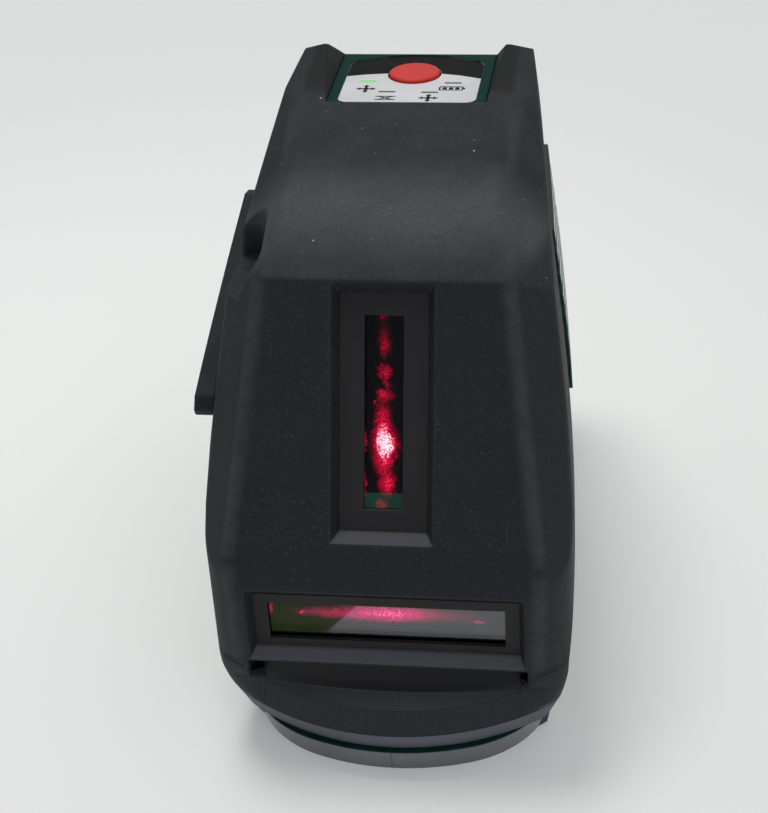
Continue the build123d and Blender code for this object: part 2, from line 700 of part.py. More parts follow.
def housing_shell():
    """Both green half shells in one, before they are parted down the middle."""
    outer = envelope(BODY_STEP) - cover_region(SEAM) + base_tub() + grip_ribs()
    void = envelope(BODY_INNER) & block(-WIDTH, WIDTH, NOSE_Y, TAIL_Y, FLOOR, HEIGHT * 2)
    shell = outer - void
    within = envelope(BODY_STEP) - cover_region(SEAM)
    for y, z in SCREW_PLACES:
        shell += rod_x(y, z, SCREW_BOSS_R, -WIDTH, WIDTH) & within
    shell += rod_z(0, 0, BOSS_R, 0, INSERT_LENGTH)
    shell -= rod_z(0, 0, INSERT_R, 0, INSERT_LENGTH)
    shell -= keypad_pocket()
    shell -= keypad_block(PANEL_HALF + PANEL_PLAY, PANEL_FRONT, PANEL_REAR + PANEL_PLAY, -PANEL_T, FAR)
    opening = LID_HALF + LID_PLAY
    low_z = HINGE_Z - HINGE_BARREL_R - LID_PLAY
    shell -= block(-opening, opening, BOX_REAR_Y, TAIL_Y + FAR, low_z, LID_TOP_Z + LID_PLAY)
    bearing = opening + HINGE_BEARING
    for side in (-1, 1):
        ear_x = sorted((side * opening, side * (bearing + HINGE_BARREL_R)))
        rear_y = TAIL_Y - BODY_INNER
        shell += block(ear_x[0], ear_x[1], rear_y - HINGE_EAR_T, rear_y, low_z, HINGE_EAR_Z)
    shell -= rod_x(HINGE_Y, HINGE_Z, HINGE_PIN_R, -bearing, bearing)
    for x, y in chassis_screw_places():
        shell -= rod_z(x, y, CHASSIS_SCREW_R, FLOOR - CHASSIS_SCREW_DEPTH, FLOOR)
    return shell


def left_housing(shell):
    """Left half, with the screw holes and the slot of the slide switch."""
    half = split(shell, bisect_by=Plane.YZ, keep=Keep.BOTTOM)
    for y, z in SCREW_PLACES:
        seat_x = SCREW_SINK - half_width_at(y, z)
        half -= rod_x(y, z, SCREW_HEAD_R + HEAD_PLAY, -WIDTH, seat_x)
        half -= rod_x(y, z, SCREW_R, seat_x, 0)
    half_lug = LUG_LENGTH / 2 + LUG_PLAY
    v_half = LUG_HEIGHT / 2 + LUG_PLAY
    slot = slide_block(
        LUG_U - half_lug, LUG_U + half_lug + SLIDE_TRAVEL, -v_half, v_half, -WIDTH, LEG_X + LEG_T
    )
    return half - slot


def right_housing(shell):
    """Right half, with blind holes for the screws."""
    half = split(shell, bisect_by=Plane.YZ, keep=Keep.TOP)
    for y, z in SCREW_PLACES:
        half -= rod_x(y, z, SCREW_R, 0, SCREW_GRIP)
    return half


def housing_screws():
    """Screws that draw the two halves together."""
    screws = []
    for y, z in SCREW_PLACES:
        seat_x = SCREW_SINK - half_width_at(y, z)
        head = rod_x(y, z, SCREW_HEAD_R, seat_x - SCREW_HEAD_T, seat_x)
        screws.append(head + rod_x(y, z, SCREW_R, seat_x, SCREW_GRIP))
    return Compound(children=screws)


def window_parts(frame, glass, centre, bezel, bezel_centre):
    """Bezel, pane and seal behind one window opening."""
    lip_depth = COVER_WALL + BEZEL_LIP
    back_depth = COVER_WALL + BEZEL_T
    pane = [side + 2 * GLASS_LAP for side in glass]
    pocket = [side + 2 * GLASS_PLAY for side in pane]
    clear = [side + 2 * (GLASS_LAP - SEAL_LAP) for side in glass]
    plate = on_face(bezel_centre, bezel, COVER_WALL, back_depth, frame)
    plate -= on_face(centre, glass, COVER_WALL, back_depth, frame)
    plate -= on_face(centre, pocket, lip_depth, back_depth, frame)
    window = on_face(centre, pane, lip_depth, lip_depth + GLASS_T, frame)
    seal = on_face(centre, pane, lip_depth + GLASS_T, back_depth, frame)
    seal -= on_face(centre, clear, lip_depth, back_depth, frame)
    return plate, window, seal


def keypad_panel():
    """Green tray with the label's recess, the button's hole and the lights' slots."""
    panel = keypad_block(PANEL_HALF, PANEL_FRONT, PANEL_REAR, -PANEL_T, 0)
    panel -= KEYPAD * extrude(Pos(0, 0, -LABEL_DEPTH) * label_outline(), LABEL_DEPTH)
    panel -= KEYPAD * rod_z(0, BUTTON_V, BUTTON_R + BUTTON_GAP, -PANEL_T, 0)
    for u, v in LIGHT_PLACES:
        panel -= light_bar(u, v, -PANEL_T, 0)
    return panel


def light_bar(u, v, low, high):
    """One light bar in the keypad's frame."""
    return KEYPAD * Pos(u, v, (low + high) / 2) * Box(*LIGHT_SIZE, high - low)


def label_outline():
    """Label with rounded front corners and an arched rear edge, as a face of (u, v)."""
    edges = [
        Polyline(
            (-LABEL_HALF, LABEL_SHOULDER),
            (-LABEL_HALF, -LABEL_FRONT),
            (LABEL_HALF, -LABEL_FRONT),
            (LABEL_HALF, LABEL_SHOULDER),
        ),
        ThreePointArc((LABEL_HALF, LABEL_SHOULDER), (0, LABEL_REAR), (-LABEL_HALF, LABEL_SHOULDER)),
    ]
    return fillet(make_face(edges).vertices(), LABEL_CORNER)


def keypad_label():
    """Printed label in the tray."""
    label = KEYPAD * extrude(Pos(0, 0, -LABEL_DEPTH) * label_outline(), LABEL_T)
    label -= KEYPAD * rod_z(0, BUTTON_V, BUTTON_R + BUTTON_GAP, -PANEL_T, 0)
    for u, v in LIGHT_PLACES:
        label -= light_bar(u, v, -PANEL_T, 0)
    return label


def indicator_lights():
    """Light bars that end level with the label."""
    bars = [light_bar(u, v, -LIGHT_DEEP, LABEL_T - LABEL_DEPTH) for u, v in LIGHT_PLACES]
    return Compound(children=bars)


def mode_button():
    """Round button with a crowned top and a flange that keeps it in the tray."""
    low = -PANEL_T - BUTTON_TRAVEL - BUTTON_FLANGE_T
    cap = rod_z(0, BUTTON_V, BUTTON_R, low, BUTTON_STAND)
    cap = fillet(cap.edges().group_by(Axis.Z)[-1], BUTTON_STAND)
    flange = rod_z(0, BUTTON_V, BUTTON_R + BUTTON_FLANGE, low, -PANEL_T - BUTTON_GAP)
    return KEYPAD * (cap + flange)


def tact_switch():
    """Small push switch on the keypad board, open for its plunger."""
    low = -KEY_BOARD_DROP
    case = Pos(0, BUTTON_V, low + TACT_T / 2) * Box(TACT_SIZE, TACT_SIZE, TACT_T)
    return KEYPAD * (case - rod_z(0, BUTTON_V, PLUNGER_R + RUN_FIT, low + RUN_FIT, 0))


def switch_plunger():
    """Plunger that moves with the button, down into the push switch."""
    top = -PANEL_T - BUTTON_TRAVEL - BUTTON_FLANGE_T
    return KEYPAD * rod_z(0, BUTTON_V, PLUNGER_R, BUTTON_GAP + BUTTON_TRAVEL - KEY_BOARD_DROP, top)


def keypad_board():
    """Circuit board under the keypad, on the ledge of the cover's seat."""
    low = -KEY_BOARD_DROP - BOARD_T
    half = PANEL_HALF - RUN_FIT
    board = keypad_block(half, PANEL_FRONT - BOARD_T, PANEL_REAR - BOARD_T, low, -KEY_BOARD_DROP)
    for side in (-1, 1):
        for v in (BOARD_T - PANEL_FRONT + STANDOFF_R, PANEL_REAR - BOARD_T - STANDOFF_R):
            x = side * (half - STANDOFF_R / 2)
            board += KEYPAD * rod_z(x, v, STANDOFF_R / 2, low, -PANEL_T - SEAT_T)
    return board


def slide_switch():
    """Thumb plate that follows the curved side, with the lug that goes through the slot."""
    half_u = SLIDE_LENGTH / 2
    half_v = SLIDE_HEIGHT / 2
    skin = envelope(-SLIDE_STAND - SLIDE_GAP) - envelope(-SLIDE_GAP)
    sweep = slide_block(-half_u, half_u, -half_v, half_v, -WIDTH, -WIDTH / 4)
    plate = skin & chamfer(sweep.edges().filter_by(Axis.X), SLIDE_CHAMFER)
    lug = slide_block(
        LUG_U - LUG_LENGTH / 2,
        LUG_U + LUG_LENGTH / 2,
        -LUG_HEIGHT / 2,
        LUG_HEIGHT / 2,
        -half_width_at(SLIDE_Y, SLIDE_Z) - SLIDE_STAND / 2,
        LEG_X,
    )
    return plate + lug


def switch_leg():
    """Inner leg of the slide switch: down the wall to a foot under the lock lever's tail."""
    y = slide_frame(LUG_U, 0)[0]
    half = LUG_LENGTH / 2
    leg = block(LEG_X, LEG_X + LEG_T, y - half, y + half, FOOT_Z, LEG_TOP_Z)
    foot = block(LEG_X, LEG_X + FOOT_WIDTH, FOOT_FRONT_Y, y + half, FOOT_Z, FOOT_Z + FOOT_T)
    return leg + foot


def switch_knob():
    """Contact knob on the leg, in the slot of the power switch."""
    y = slide_frame(LUG_U, 0)[0]
    x = LEG_X + LEG_T
    half = KNOB_SIZE / 2
    return block(x, x + KNOB_REACH, y - half, y + half, KNOB_Z - half, KNOB_Z + half)


def chassis():
    """Cast frame: base plate, two posts with the gimbal's bearings, bridge and the lever's ears."""
    front_y = GIMBAL_Y - CHASSIS_FRONT
    rear_y = GIMBAL_Y + CHASSIS_REAR
    post_y = (GIMBAL_Y - POST_HALF_Y, GIMBAL_Y + POST_HALF_Y)
    outer_x = POST_X + POST_T
    frame = block(-CHASSIS_HALF_X, CHASSIS_HALF_X, front_y, rear_y, FLOOR, CHASSIS_TOP_Z)
    portal = block(-outer_x, outer_x, *post_y, CHASSIS_TOP_Z, BRIDGE_Z + BRIDGE_T)
    portal = chamfer(portal.edges().filter_by(Axis.Y).group_by(Axis.Z)[-1], BRIDGE_CHAMFER)
    portal -= block(-POST_X, POST_X, *post_y, CHASSIS_TOP_Z, BRIDGE_Z)
    arch_y = (GIMBAL_Y - ARCH_HALF, GIMBAL_Y + ARCH_HALF)
    portal -= block(-outer_x, outer_x, *arch_y, CHASSIS_TOP_Z, CHASSIS_TOP_Z + ARCH_HEIGHT)
    portal -= rod_x(GIMBAL_Y, GIMBAL_Z, BEARING_R, -outer_x, outer_x)
    frame += portal
    ear_y = LEVER_HALF + LEVER_EAR_GAP
    ear_z = lever_axis_z() + LEVER_HUB_R
    for side in (-1, 1):
        reach = sorted((GIMBAL_Y + side * ear_y, GIMBAL_Y + side * (ear_y + LEVER_EAR_T)))
        low_x = LEVER_PIVOT_X - LEVER_HUB_R
        frame += block(low_x, LEVER_PIVOT_X + LEVER_HUB_R, *reach, CHASSIS_TOP_Z, ear_z)
    frame -= lever_pin()
    for x, y in chassis_screw_places():
        frame -= rod_z(x, y, CHASSIS_SCREW_R, FLOOR, CHASSIS_TOP_Z)
    return frame


def chassis_screws():
    """Screws that hold the chassis to the floor of the housing."""
    screws = []
    for x, y in chassis_screw_places():
        shank = rod_z(x, y, CHASSIS_SCREW_R, FLOOR - CHASSIS_SCREW_DEPTH, CHASSIS_TOP_Z)
        head = rod_z(x, y, SCREW_HEAD_R, CHASSIS_TOP_Z, CHASSIS_TOP_Z + SCREW_HEAD_T)
        screws.append(shank + head)
    return Compound(children=screws)


def outer_bearings():
    """Bushes in the two posts."""
    bushes = []
    for side in (-1, 1):
        reach = sorted((side * POST_X, side * (POST_X + POST_T)))
        bush = rod_x(GIMBAL_Y, GIMBAL_Z, BEARING_R, *reach)
        bushes.append(bush - rod_x(GIMBAL_Y, GIMBAL_Z, AXLE_R + RUN_FIT, *reach))
    return Compound(children=bushes)


def ring_axles():
    """Pins along X that carry the ring in the posts."""
    pins = []
    for side in (-1, 1):
        reach = sorted((side * (RING_X - RING_WALL), side * (POST_X + POST_T)))
        pins.append(rod_x(GIMBAL_Y, GIMBAL_Z, AXLE_R, *reach))
    return Compound(children=pins)


def gimbal_ring():
    """Square ring between the posts and the pendulum."""
    high = (GIMBAL_Z - RING_T / 2, GIMBAL_Z + RING_T / 2)
    inner_x = RING_X - RING_WALL
    inner_y = RING_Y - RING_WALL
    ring = block(-RING_X, RING_X, GIMBAL_Y - RING_Y, GIMBAL_Y + RING_Y, *high)
    ring -= block(-inner_x, inner_x, GIMBAL_Y - inner_y, GIMBAL_Y + inner_y, *high)
    ring -= rod_x(GIMBAL_Y, GIMBAL_Z, AXLE_R, -RING_X, RING_X)
    ring -= rod_y(0, GIMBAL_Z, BEARING_R, GIMBAL_Y - RING_Y, GIMBAL_Y + RING_Y)
    return ring


def inner_bearings():
    """Bushes in the ring's front and rear walls."""
    bushes = []
    for side in (-1, 1):
        reach = sorted((GIMBAL_Y + side * (RING_Y - RING_WALL), GIMBAL_Y + side * RING_Y))
        bush = rod_y(0, GIMBAL_Z, BEARING_R, *reach)
        bushes.append(bush - rod_y(0, GIMBAL_Z, AXLE_R + RUN_FIT, *reach))
    return Compound(children=bushes)


def pendulum_axles():
    """Pins along Y that carry the pendulum in the ring."""
    pins = []
    for side in (-1, 1):
        reach = sorted((GIMBAL_Y + side * YOKE_HALF_Y / 2, GIMBAL_Y + side * RING_Y))
        pins.append(rod_y(0, GIMBAL_Z, AXLE_R, *reach))
    return Compound(children=pins)


def laser_barrel(z):
    """Round laser module."""
    front_y = GIMBAL_Y - LASER_FRONT
    return rod_y(0, z, LASER_R, front_y, front_y + LASER_LENGTH)


def lens_place():
    """Place along Y of the rod lenses, held in the front of the barrels."""
    return GIMBAL_Y - LASER_FRONT - LENS_R + LENS_HOLD


def vertical_lens():
    """Rod lens that spreads the beam upwards and downwards."""
    return rod_x(lens_place(), V_LASER_Z, LENS_R, -LENS_LENGTH / 2, LENS_LENGTH / 2)


def horizontal_lens():
    """Rod lens that spreads the beam to both sides."""
    return rod_z(0, lens_place(), LENS_R, H_LASER_Z - LENS_LENGTH / 2, H_LASER_Z + LENS_LENGTH / 2)


def adjusting_screw(z, low):
    """Set screw that clamps one laser barrel from above, from a level in or on the barrel."""
    y = GIMBAL_Y + CARRIER_FRONT - CARRIER_REAR - LASER_R
    return rod_z(0, y, ADJUST_R, low, z + LASER_R + 2 * CARRIER_WALL)


def pendulum_body():
    """Hanging carrier: yoke in the ring, stem and two laser seats."""
    top_z = GIMBAL_Z + YOKE_T / 2
    low_z = GIMBAL_Z - YOKE_T / 2
    y0 = GIMBAL_Y - YOKE_HALF_Y
    body = block(-YOKE_HALF_X, YOKE_HALF_X, y0, GIMBAL_Y + YOKE_HALF_Y, low_z, top_z)
    body += block(-STEM_HALF, STEM_HALF, GIMBAL_Y - STEM_HALF, GIMBAL_Y + STEM_HALF, WEIGHT_TOP, low_z)
    seat = LASER_R + CARRIER_WALL
    for z in (H_LASER_Z, V_LASER_Z):
        body += block(-seat, seat, GIMBAL_Y - CARRIER_FRONT, GIMBAL_Y + CARRIER_REAR, z - seat, z + seat)
    for z in (H_LASER_Z, V_LASER_Z):
        body -= laser_barrel(z)
        body -= adjusting_screw(z, z)
    return body - pendulum_axles()


def counterweight():
    """Weight under the stem, set back to balance the lasers, with a round cap for the brake."""
    low_z = PLATE_Z + PLATE_T
    weight = rod_z(0, GIMBAL_Y + WEIGHT_SHIFT, WEIGHT_R, low_z, WEIGHT_TOP)
    cap = rod_z(0, GIMBAL_Y, CAP_R, CAP_Z - PLATE_T, low_z) & (Pos(*GIMBAL) * Sphere(CAP_REACH))
    return weight + cap


def damping_plate():
    """Copper ring that swings over the magnets."""
    plate = rod_z(0, GIMBAL_Y, PLATE_R, PLATE_Z, PLATE_Z + PLATE_T)
    return plate - rod_z(0, GIMBAL_Y, PLATE_BORE, PLATE_Z, PLATE_Z + PLATE_T)


def magnet_yoke():
    """Steel plate under the magnets."""
    half_x = MAGNET_X + MAGNET_R
    half_y = MAGNET_Y + MAGNET_R
    return block(-half_x, half_x, GIMBAL_Y - half_y, GIMBAL_Y + half_y, CHASSIS_TOP_Z, YOKE_TOP_Z)


def damping_magnets():
    """Four magnets under the copper ring."""
    magnets = []
    for x in (-MAGNET_X, MAGNET_X):
        for y in (GIMBAL_Y - MAGNET_Y, GIMBAL_Y + MAGNET_Y):
            magnets.append(rod_z(x, y, MAGNET_R, YOKE_TOP_Z, YOKE_TOP_Z + MAGNET_T))
    return Compound(children=magnets)


def lever_axis_z():
    """Height of the lock lever's pivot."""
    return LEVER_Z + LEVER_T / 2


def lever_pin():
    """Pin of the lock lever, in the chassis ears."""
    half = LEVER_HALF + LEVER_EAR_GAP + LEVER_EAR_T
    return rod_y(LEVER_PIVOT_X, lever_axis_z(), LEVER_PIN_R, GIMBAL_Y - half, GIMBAL_Y + half)


def lock_lever():
    """Lever from its pivot, under the pendulum, to the tail that the switch's foot lifts."""
    half_y = (GIMBAL_Y - LEVER_HALF, GIMBAL_Y + LEVER_HALF)
    lever = block(LEG_X + RUN_FIT, LEVER_PIVOT_X, *half_y, LEVER_Z, LEVER_TOP_Z)
    lever += rod_y(LEVER_PIVOT_X, lever_axis_z(), LEVER_HUB_R, *half_y)
    return lever - rod_y(LEVER_PIVOT_X, lever_axis_z(), LEVER_PIN_R + RUN_FIT, *half_y)


def brake_pad():
    """Rubber pad on the lever, under the pendulum's round cap."""
    return rod_z(0, GIMBAL_Y, PAD_R, LEVER_TOP_Z, LEVER_TOP_Z + PAD_T)


def power_switch():
    """Slide contact on the rear of the left post, open for the knob."""
    y = slide_frame(LUG_U, 0)[0]
    half = KNOB_SIZE / 2 + KNOB_PLAY
    rise = SLIDE_TRAVEL * SLIDE_DIR[2]
    run = SLIDE_TRAVEL * SLIDE_DIR[1]
    out_x = LEG_X + LEG_T + KNOB_PLAY
    low_z = KNOB_Z - half - SWITCH_WALL
    high_z = KNOB_Z + half + rise + SWITCH_WALL
    case = block(
        out_x, -POST_X, GIMBAL_Y + POST_HALF_Y, y + half + run + SWITCH_WALL, low_z, high_z
    )
    slot_x = LEG_X + LEG_T + KNOB_REACH + KNOB_PLAY
    return case - block(out_x, slot_x, y - half, y + half + run, KNOB_Z - half, KNOB_Z + half + rise)


def main_board():
    """Circuit board in front of the battery box, with its larger chips."""
    board = block(-BOARD_HALF_X, BOARD_HALF_X, BOARD_Y, BOARD_Y + BOARD_T, BOARD_LOW_Z, BOARD_HIGH_Z)
    middle = (BOARD_LOW_Z + BOARD_HIGH_Z) / 2
    chip = BOARD_HALF_X / 4
    for x, z in ((-2 * chip, middle), (chip, middle + 3 * chip), (2 * chip, middle - 3 * chip)):
        board += block(x - chip, x + chip, BOARD_Y - CHIP_T, BOARD_Y, z - chip, z + chip)
    return board


def battery_box():
    """Open-backed box for the cells, on two feet, with posts for the main board."""
    box = block(-BOX_HALF, BOX_HALF, BOX_FRONT_Y, BOX_REAR_Y, BOX_LOW_Z, BOX_HIGH_Z)
    inner = BOX_HALF - BOX_WALL
    box -= block(
        -inner, inner, BOX_FRONT_Y + BOX_WALL, BOX_REAR_Y, BOX_LOW_Z + BOX_WALL, BOX_HIGH_Z - BOX_WALL
    )
    for side in (-1, 1):
        reach = sorted((side * inner / 2, side * inner))
        box += block(*reach, BOX_FRONT_Y, BOX_REAR_Y - BOX_WALL * 2, FLOOR, BOX_LOW_Z)
        for z in (BOX_LOW_Z + CELL_R * 2, BOX_HIGH_Z - CELL_R):
            box += rod_y(side * inner / 2, z, STANDOFF_R, BOARD_Y + BOARD_T, BOX_FRONT_Y)
    return box


def cell_places():
    """Centres of the four cells seen from above, and which way up each one is."""
    half = CELL_PITCH / 2
    rear = CELL_Y + CELL_PITCH
    return ((-half, CELL_Y, 1), (half, CELL_Y, -1), (-half, rear, -1), (half, rear, 1))


def battery_cells():
    """Four AA cells, two by two."""
    cells = []
    middle = CELL_BASE_Z + CELL_LENGTH / 2
    for x, y, up in cell_places():
        can_length = CELL_LENGTH - TIP_LENGTH
        can = Pos(0, 0, -TIP_LENGTH / 2) * Cylinder(CELL_R, can_length)
        tip = Pos(0, 0, CELL_LENGTH / 2 - TIP_LENGTH / 2) * Cylinder(TIP_R, TIP_LENGTH)
        cells.append(Pos(x, y, middle) * Rot(0 if up > 0 else 180, 0, 0) * (can + tip))
    return Compound(children=cells)


def battery_contacts():
    """Stamped contact plates under and over the cells."""
    half = CELL_PITCH / 2
    pad = CELL_R - BOX_WALL
    low = (CELL_BASE_Z - CONTACT_T, CELL_BASE_Z)
    high = (CELL_BASE_Z + CELL_LENGTH, CELL_BASE_Z + CELL_LENGTH + CONTACT_T)
    rear_y = CELL_Y + CELL_PITCH
    plates = [block(x - pad, x + pad, CELL_Y - pad, rear_y + pad, *low) for x in (-half, half)]
    plates.append(block(-half - pad, half + pad, rear_y - pad, rear_y + pad, *high))
    plates += [block(x - pad, x + pad, CELL_Y - pad, CELL_Y + pad, *high) for x in (-half, half)]
    return Compound(children=plates)


def battery_lid():
    """Rear lid with its hinge barrel and finger grooves."""
    lid = block(-LID_HALF, LID_HALF, LID_OUT_Y - LID_T, LID_OUT_Y, HINGE_Z, LID_TOP_Z)
    lid += rod_x(HINGE_Y, HINGE_Z, HINGE_BARREL_R, -LID_HALF, LID_HALF)
    lid -= rod_x(HINGE_Y, HINGE_Z, HINGE_PIN_R + RUN_FIT, -LID_HALF, LID_HALF)
    for i in range(LID_GROOVES):
        z = LID_TOP_Z - (i + 1) * LID_GROOVE_PITCH
        groove = LID_GROOVE_PITCH / 2
        lid -= block(-LID_HALF / 2, LID_HALF / 2, LID_OUT_Y - LID_T / 3, LID_OUT_Y, z - groove, z)
    return lid


def lid_hinge_pin():
    """Pin of the battery lid, held in both housing halves."""
    reach = LID_HALF + LID_PLAY + HINGE_BEARING
    return rod_x(HINGE_Y, HINGE_Z, HINGE_PIN_R, -reach, reach)


def tripod_insert():
    """Brass socket for a tripod screw."""
    return rod_z(0, 0, INSERT_R, 0, INSERT_LENGTH) - rod_z(0, 0, SOCKET_R, 0, INSERT_LENGTH)


def chassis_screw_places():
    """Places (x, y) of the chassis screws."""
    rows = (GIMBAL_Y - CHASSIS_FRONT + BOSS_R / 2, GIMBAL_Y + CHASSIS_REAR - BOSS_R / 2)
    return [(x, y) for x in (-CHASSIS_SCREW_X, CHASSIS_SCREW_X) for y in rows]


def build_all():
    """Every piece by its name."""
    shell = housing_shell()
    v_centre = (0, -V_MOUTH_DROP - V_MOUTH[1] / 2)
    v_bezel_centre = (0, -V_BEZEL_DROP - V_BEZEL[1] / 2)
    v_bezel, v_window, v_seal = window_parts(FACE, V_GLASS, v_centre, V_BEZEL, v_bezel_centre)
    h_bezel, h_window, h_seal = window_parts(FOOT, H_GLASS, (0, H_GLASS_Z), H_BEZEL, (0, H_BEZEL_Z))
    adjusting = [adjusting_screw(z, z + LASER_R) for z in (H_LASER_Z, V_LASER_Z)]
    return {
        "left_housing": left_housing(shell),
        "right_housing": right_housing(shell),
        "front_cover": front_cover(),
        "vertical_bezel": v_bezel,
        "vertical_window": v_window,
        "vertical_seal": v_seal,
        "horizontal_bezel": h_bezel,
        "horizontal_window": h_window,
        "horizontal_seal": h_seal,
        "keypad_panel": keypad_panel(),
        "keypad_label": keypad_label(),
        "indicator_lights": indicator_lights(),
        "mode_button": mode_button(),
        "tact_switch": tact_switch(),
        "switch_plunger": switch_plunger(),
        "keypad_board": keypad_board(),
        "slide_switch": slide_switch(),
        "switch_leg": switch_leg(),
        "switch_knob": switch_knob(),
        "housing_screws": housing_screws(),
        "chassis": chassis(),
        "chassis_screws": chassis_screws(),
        "outer_bearings": outer_bearings(),
        "gimbal_ring": gimbal_ring(),
        "ring_axles": ring_axles(),
        "inner_bearings": inner_bearings(),
        "pendulum_body": pendulum_body(),
        "pendulum_axles": pendulum_axles(),
        "vertical_laser": laser_barrel(V_LASER_Z) - vertical_lens(),
        "vertical_lens": vertical_lens(),
        "horizontal_laser": laser_barrel(H_LASER_Z) - horizontal_lens(),
        "horizontal_lens": horizontal_lens(),
        "adjusting_screws": Compound(children=adjusting),
        "counterweight": counterweight(),
        "damping_plate": damping_plate(),
        "damping_magnets": damping_magnets(),
        "magnet_yoke": magnet_yoke(),
        "lock_lever": lock_lever(),
        "lever_pin": lever_pin(),
        "brake_pad": brake_pad(),
        "power_switch": power_switch(),
        "main_board": main_board(),
        "battery_box": battery_box(),
        "battery_cells": battery_cells(),
        "battery_contacts": battery_contacts(),
        "battery_lid": battery_lid(),
        "lid_hinge_pin": lid_hinge_pin(),
        "tripod_insert": tripod_insert(),
    }


os.makedirs("parts", exist_ok=True)
for name, piece in build_all().items():
    export_step(piece, f"parts/{name}.step")
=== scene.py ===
import bmesh
import bpy
from math import cos, degrees, radians, sin
from mathutils import Matrix, Vector
from mathutils.bvhtree import BVHTree


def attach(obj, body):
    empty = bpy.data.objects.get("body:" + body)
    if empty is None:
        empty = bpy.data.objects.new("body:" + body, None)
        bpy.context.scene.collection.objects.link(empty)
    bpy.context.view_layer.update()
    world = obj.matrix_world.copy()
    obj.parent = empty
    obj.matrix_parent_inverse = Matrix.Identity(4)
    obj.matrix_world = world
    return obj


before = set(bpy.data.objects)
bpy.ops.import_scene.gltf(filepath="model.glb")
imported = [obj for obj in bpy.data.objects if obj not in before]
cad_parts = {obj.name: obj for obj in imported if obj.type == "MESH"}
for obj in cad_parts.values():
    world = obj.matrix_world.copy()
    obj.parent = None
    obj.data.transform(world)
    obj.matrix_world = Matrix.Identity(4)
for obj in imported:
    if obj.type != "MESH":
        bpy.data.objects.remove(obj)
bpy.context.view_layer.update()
MM = 0.001
FLOAT, VECTOR = "NodeSocketFloat", "NodeSocketVector"
MASK = (("Mask", FLOAT),)


# Node helpers

def put(tree, kind, **values):
    """New node with its plain properties set."""
    node = tree.nodes.new(kind)
    for key, value in values.items():
        setattr(node, key, value)
    return node


def feed(tree, source, target):
    """Joins two sockets, or writes a plain value into the target."""
    if isinstance(source, bpy.types.NodeSocket):
        tree.links.new(source, target)
    else:
        target.default_value = source


def maths(tree, operation, a, b=0.0, clamp=False):
    """Result of one sum on values or sockets."""
    node = put(tree, "ShaderNodeMath", operation=operation, use_clamp=clamp)
    feed(tree, a, node.inputs[0])
    feed(tree, b, node.inputs[1])
    return node.outputs[0]


def times(tree, first, *others):
    """Product of values or sockets."""
    for value in others:
        first = maths(tree, "MULTIPLY", first, value)
    return first


def largest(tree, first, *others):
    """Largest of values or sockets."""
    for value in others:
        first = maths(tree, "MAXIMUM", first, value)
    return first


def weighed(tree, a, b, share):
    """Two values added up, the first by its share and the second by the rest."""
    return maths(tree, "ADD", times(tree, a, share), times(tree, b, 1.0 - share))


def spread(tree, value, low, high, to_low=0.0, to_high=1.0):
    """Value brought smoothly from one range to another and held there."""
    node = put(tree, "ShaderNodeMapRange", interpolation_type="SMOOTHSTEP")
    feed(tree, value, node.inputs["Value"])
    for name, number in (("From Min", low), ("From Max", high), ("To Min", to_low), ("To Max", to_high)):
        feed(tree, number, node.inputs[name])
    return node.outputs["Result"]


def spread_mm(tree, value, low, high, to_low=0.0, to_high=1.0):
    """Length brought smoothly from a range in mm to another range."""
    return spread(tree, value, low * MM, high * MM, to_low, to_high)


def between(tree, value, rise, fall):
    """One on a stretch in mm and nought off it, with a smooth rise and a smooth fall."""
    return times(tree, spread_mm(tree, value, *rise), spread_mm(tree, value, *fall))


def blend_colour(tree, factor, a, b):
    """Colour between two others."""
    node = put(tree, "ShaderNodeMix", data_type="RGBA")
    feed(tree, factor, node.inputs[0])
    feed(tree, a, node.inputs[6])
    feed(tree, b, node.inputs[7])
    return node.outputs[2]


def add_colours(tree, a, b):
    """Two lights on top of each other."""
    node = put(tree, "ShaderNodeMix", data_type="RGBA", blend_type="ADD")
    node.inputs[0].default_value = 1.0
    feed(tree, a, node.inputs[6])
    feed(tree, b, node.inputs[7])
    return node.outputs[2]


def place(tree):
    """Place on the object, in metres."""
    return put(tree, "ShaderNodeTexCoord").outputs["Object"]


def parts_of(tree, source):
    """Three values of a vector."""
    parts = put(tree, "ShaderNodeSeparateXYZ")
    feed(tree, source, parts.inputs[0])
    return parts.outputs


def parts_of_place(tree):
    """Place on the object as three values, in metres."""
    return parts_of(tree, place(tree))


def parts_of_normal(tree):
    """Way that a face looks, as three values."""
    return parts_of(tree, put(tree, "ShaderNodeNewGeometry").outputs["Normal"])


def noise(tree, where, scale, detail=3.0, rough=0.5):
    """Plain noise at so many waves to the metre."""
    node = put(tree, "ShaderNodeTexNoise")
    feed(tree, where, node.inputs["Vector"])
    feed(tree, scale, node.inputs["Scale"])
    feed(tree, detail, node.inputs["Detail"])
    feed(tree, rough, node.inputs["Roughness"])
    return node.outputs["Fac"]


def patches(tree, scale, detail, rough, cut, share):
    """Noise cut to a range and brought to a share between two others."""
    return spread(tree, noise(tree, place(tree), scale, detail, rough), *cut, *share)


def rgb(*values):
    """Colour with full alpha."""
    return (*values, 1.0)


# Effects that several finishes share

COARSE_GRAIN = 0.42
FINE_GRAIN_SHARE = 0.65
SPECKS = ((1.0, 0.06), (2.3, 0.09))
PAINTED_BOUNCE_SOFTNESS = 0.0012


def new_group(name, takes, gives):
    """Empty node group with named sockets."""
    tree = bpy.data.node_groups.new(name, "ShaderNodeTree")
    for label, kind, start in takes:
        socket = tree.interface.new_socket(label, in_out="INPUT", socket_type=kind)
        socket.default_value = start
    for label, kind in gives:
        tree.interface.new_socket(label, in_out="OUTPUT", socket_type=kind)
    return tree, put(tree, "NodeGroupInput").outputs, put(tree, "NodeGroupOutput").inputs


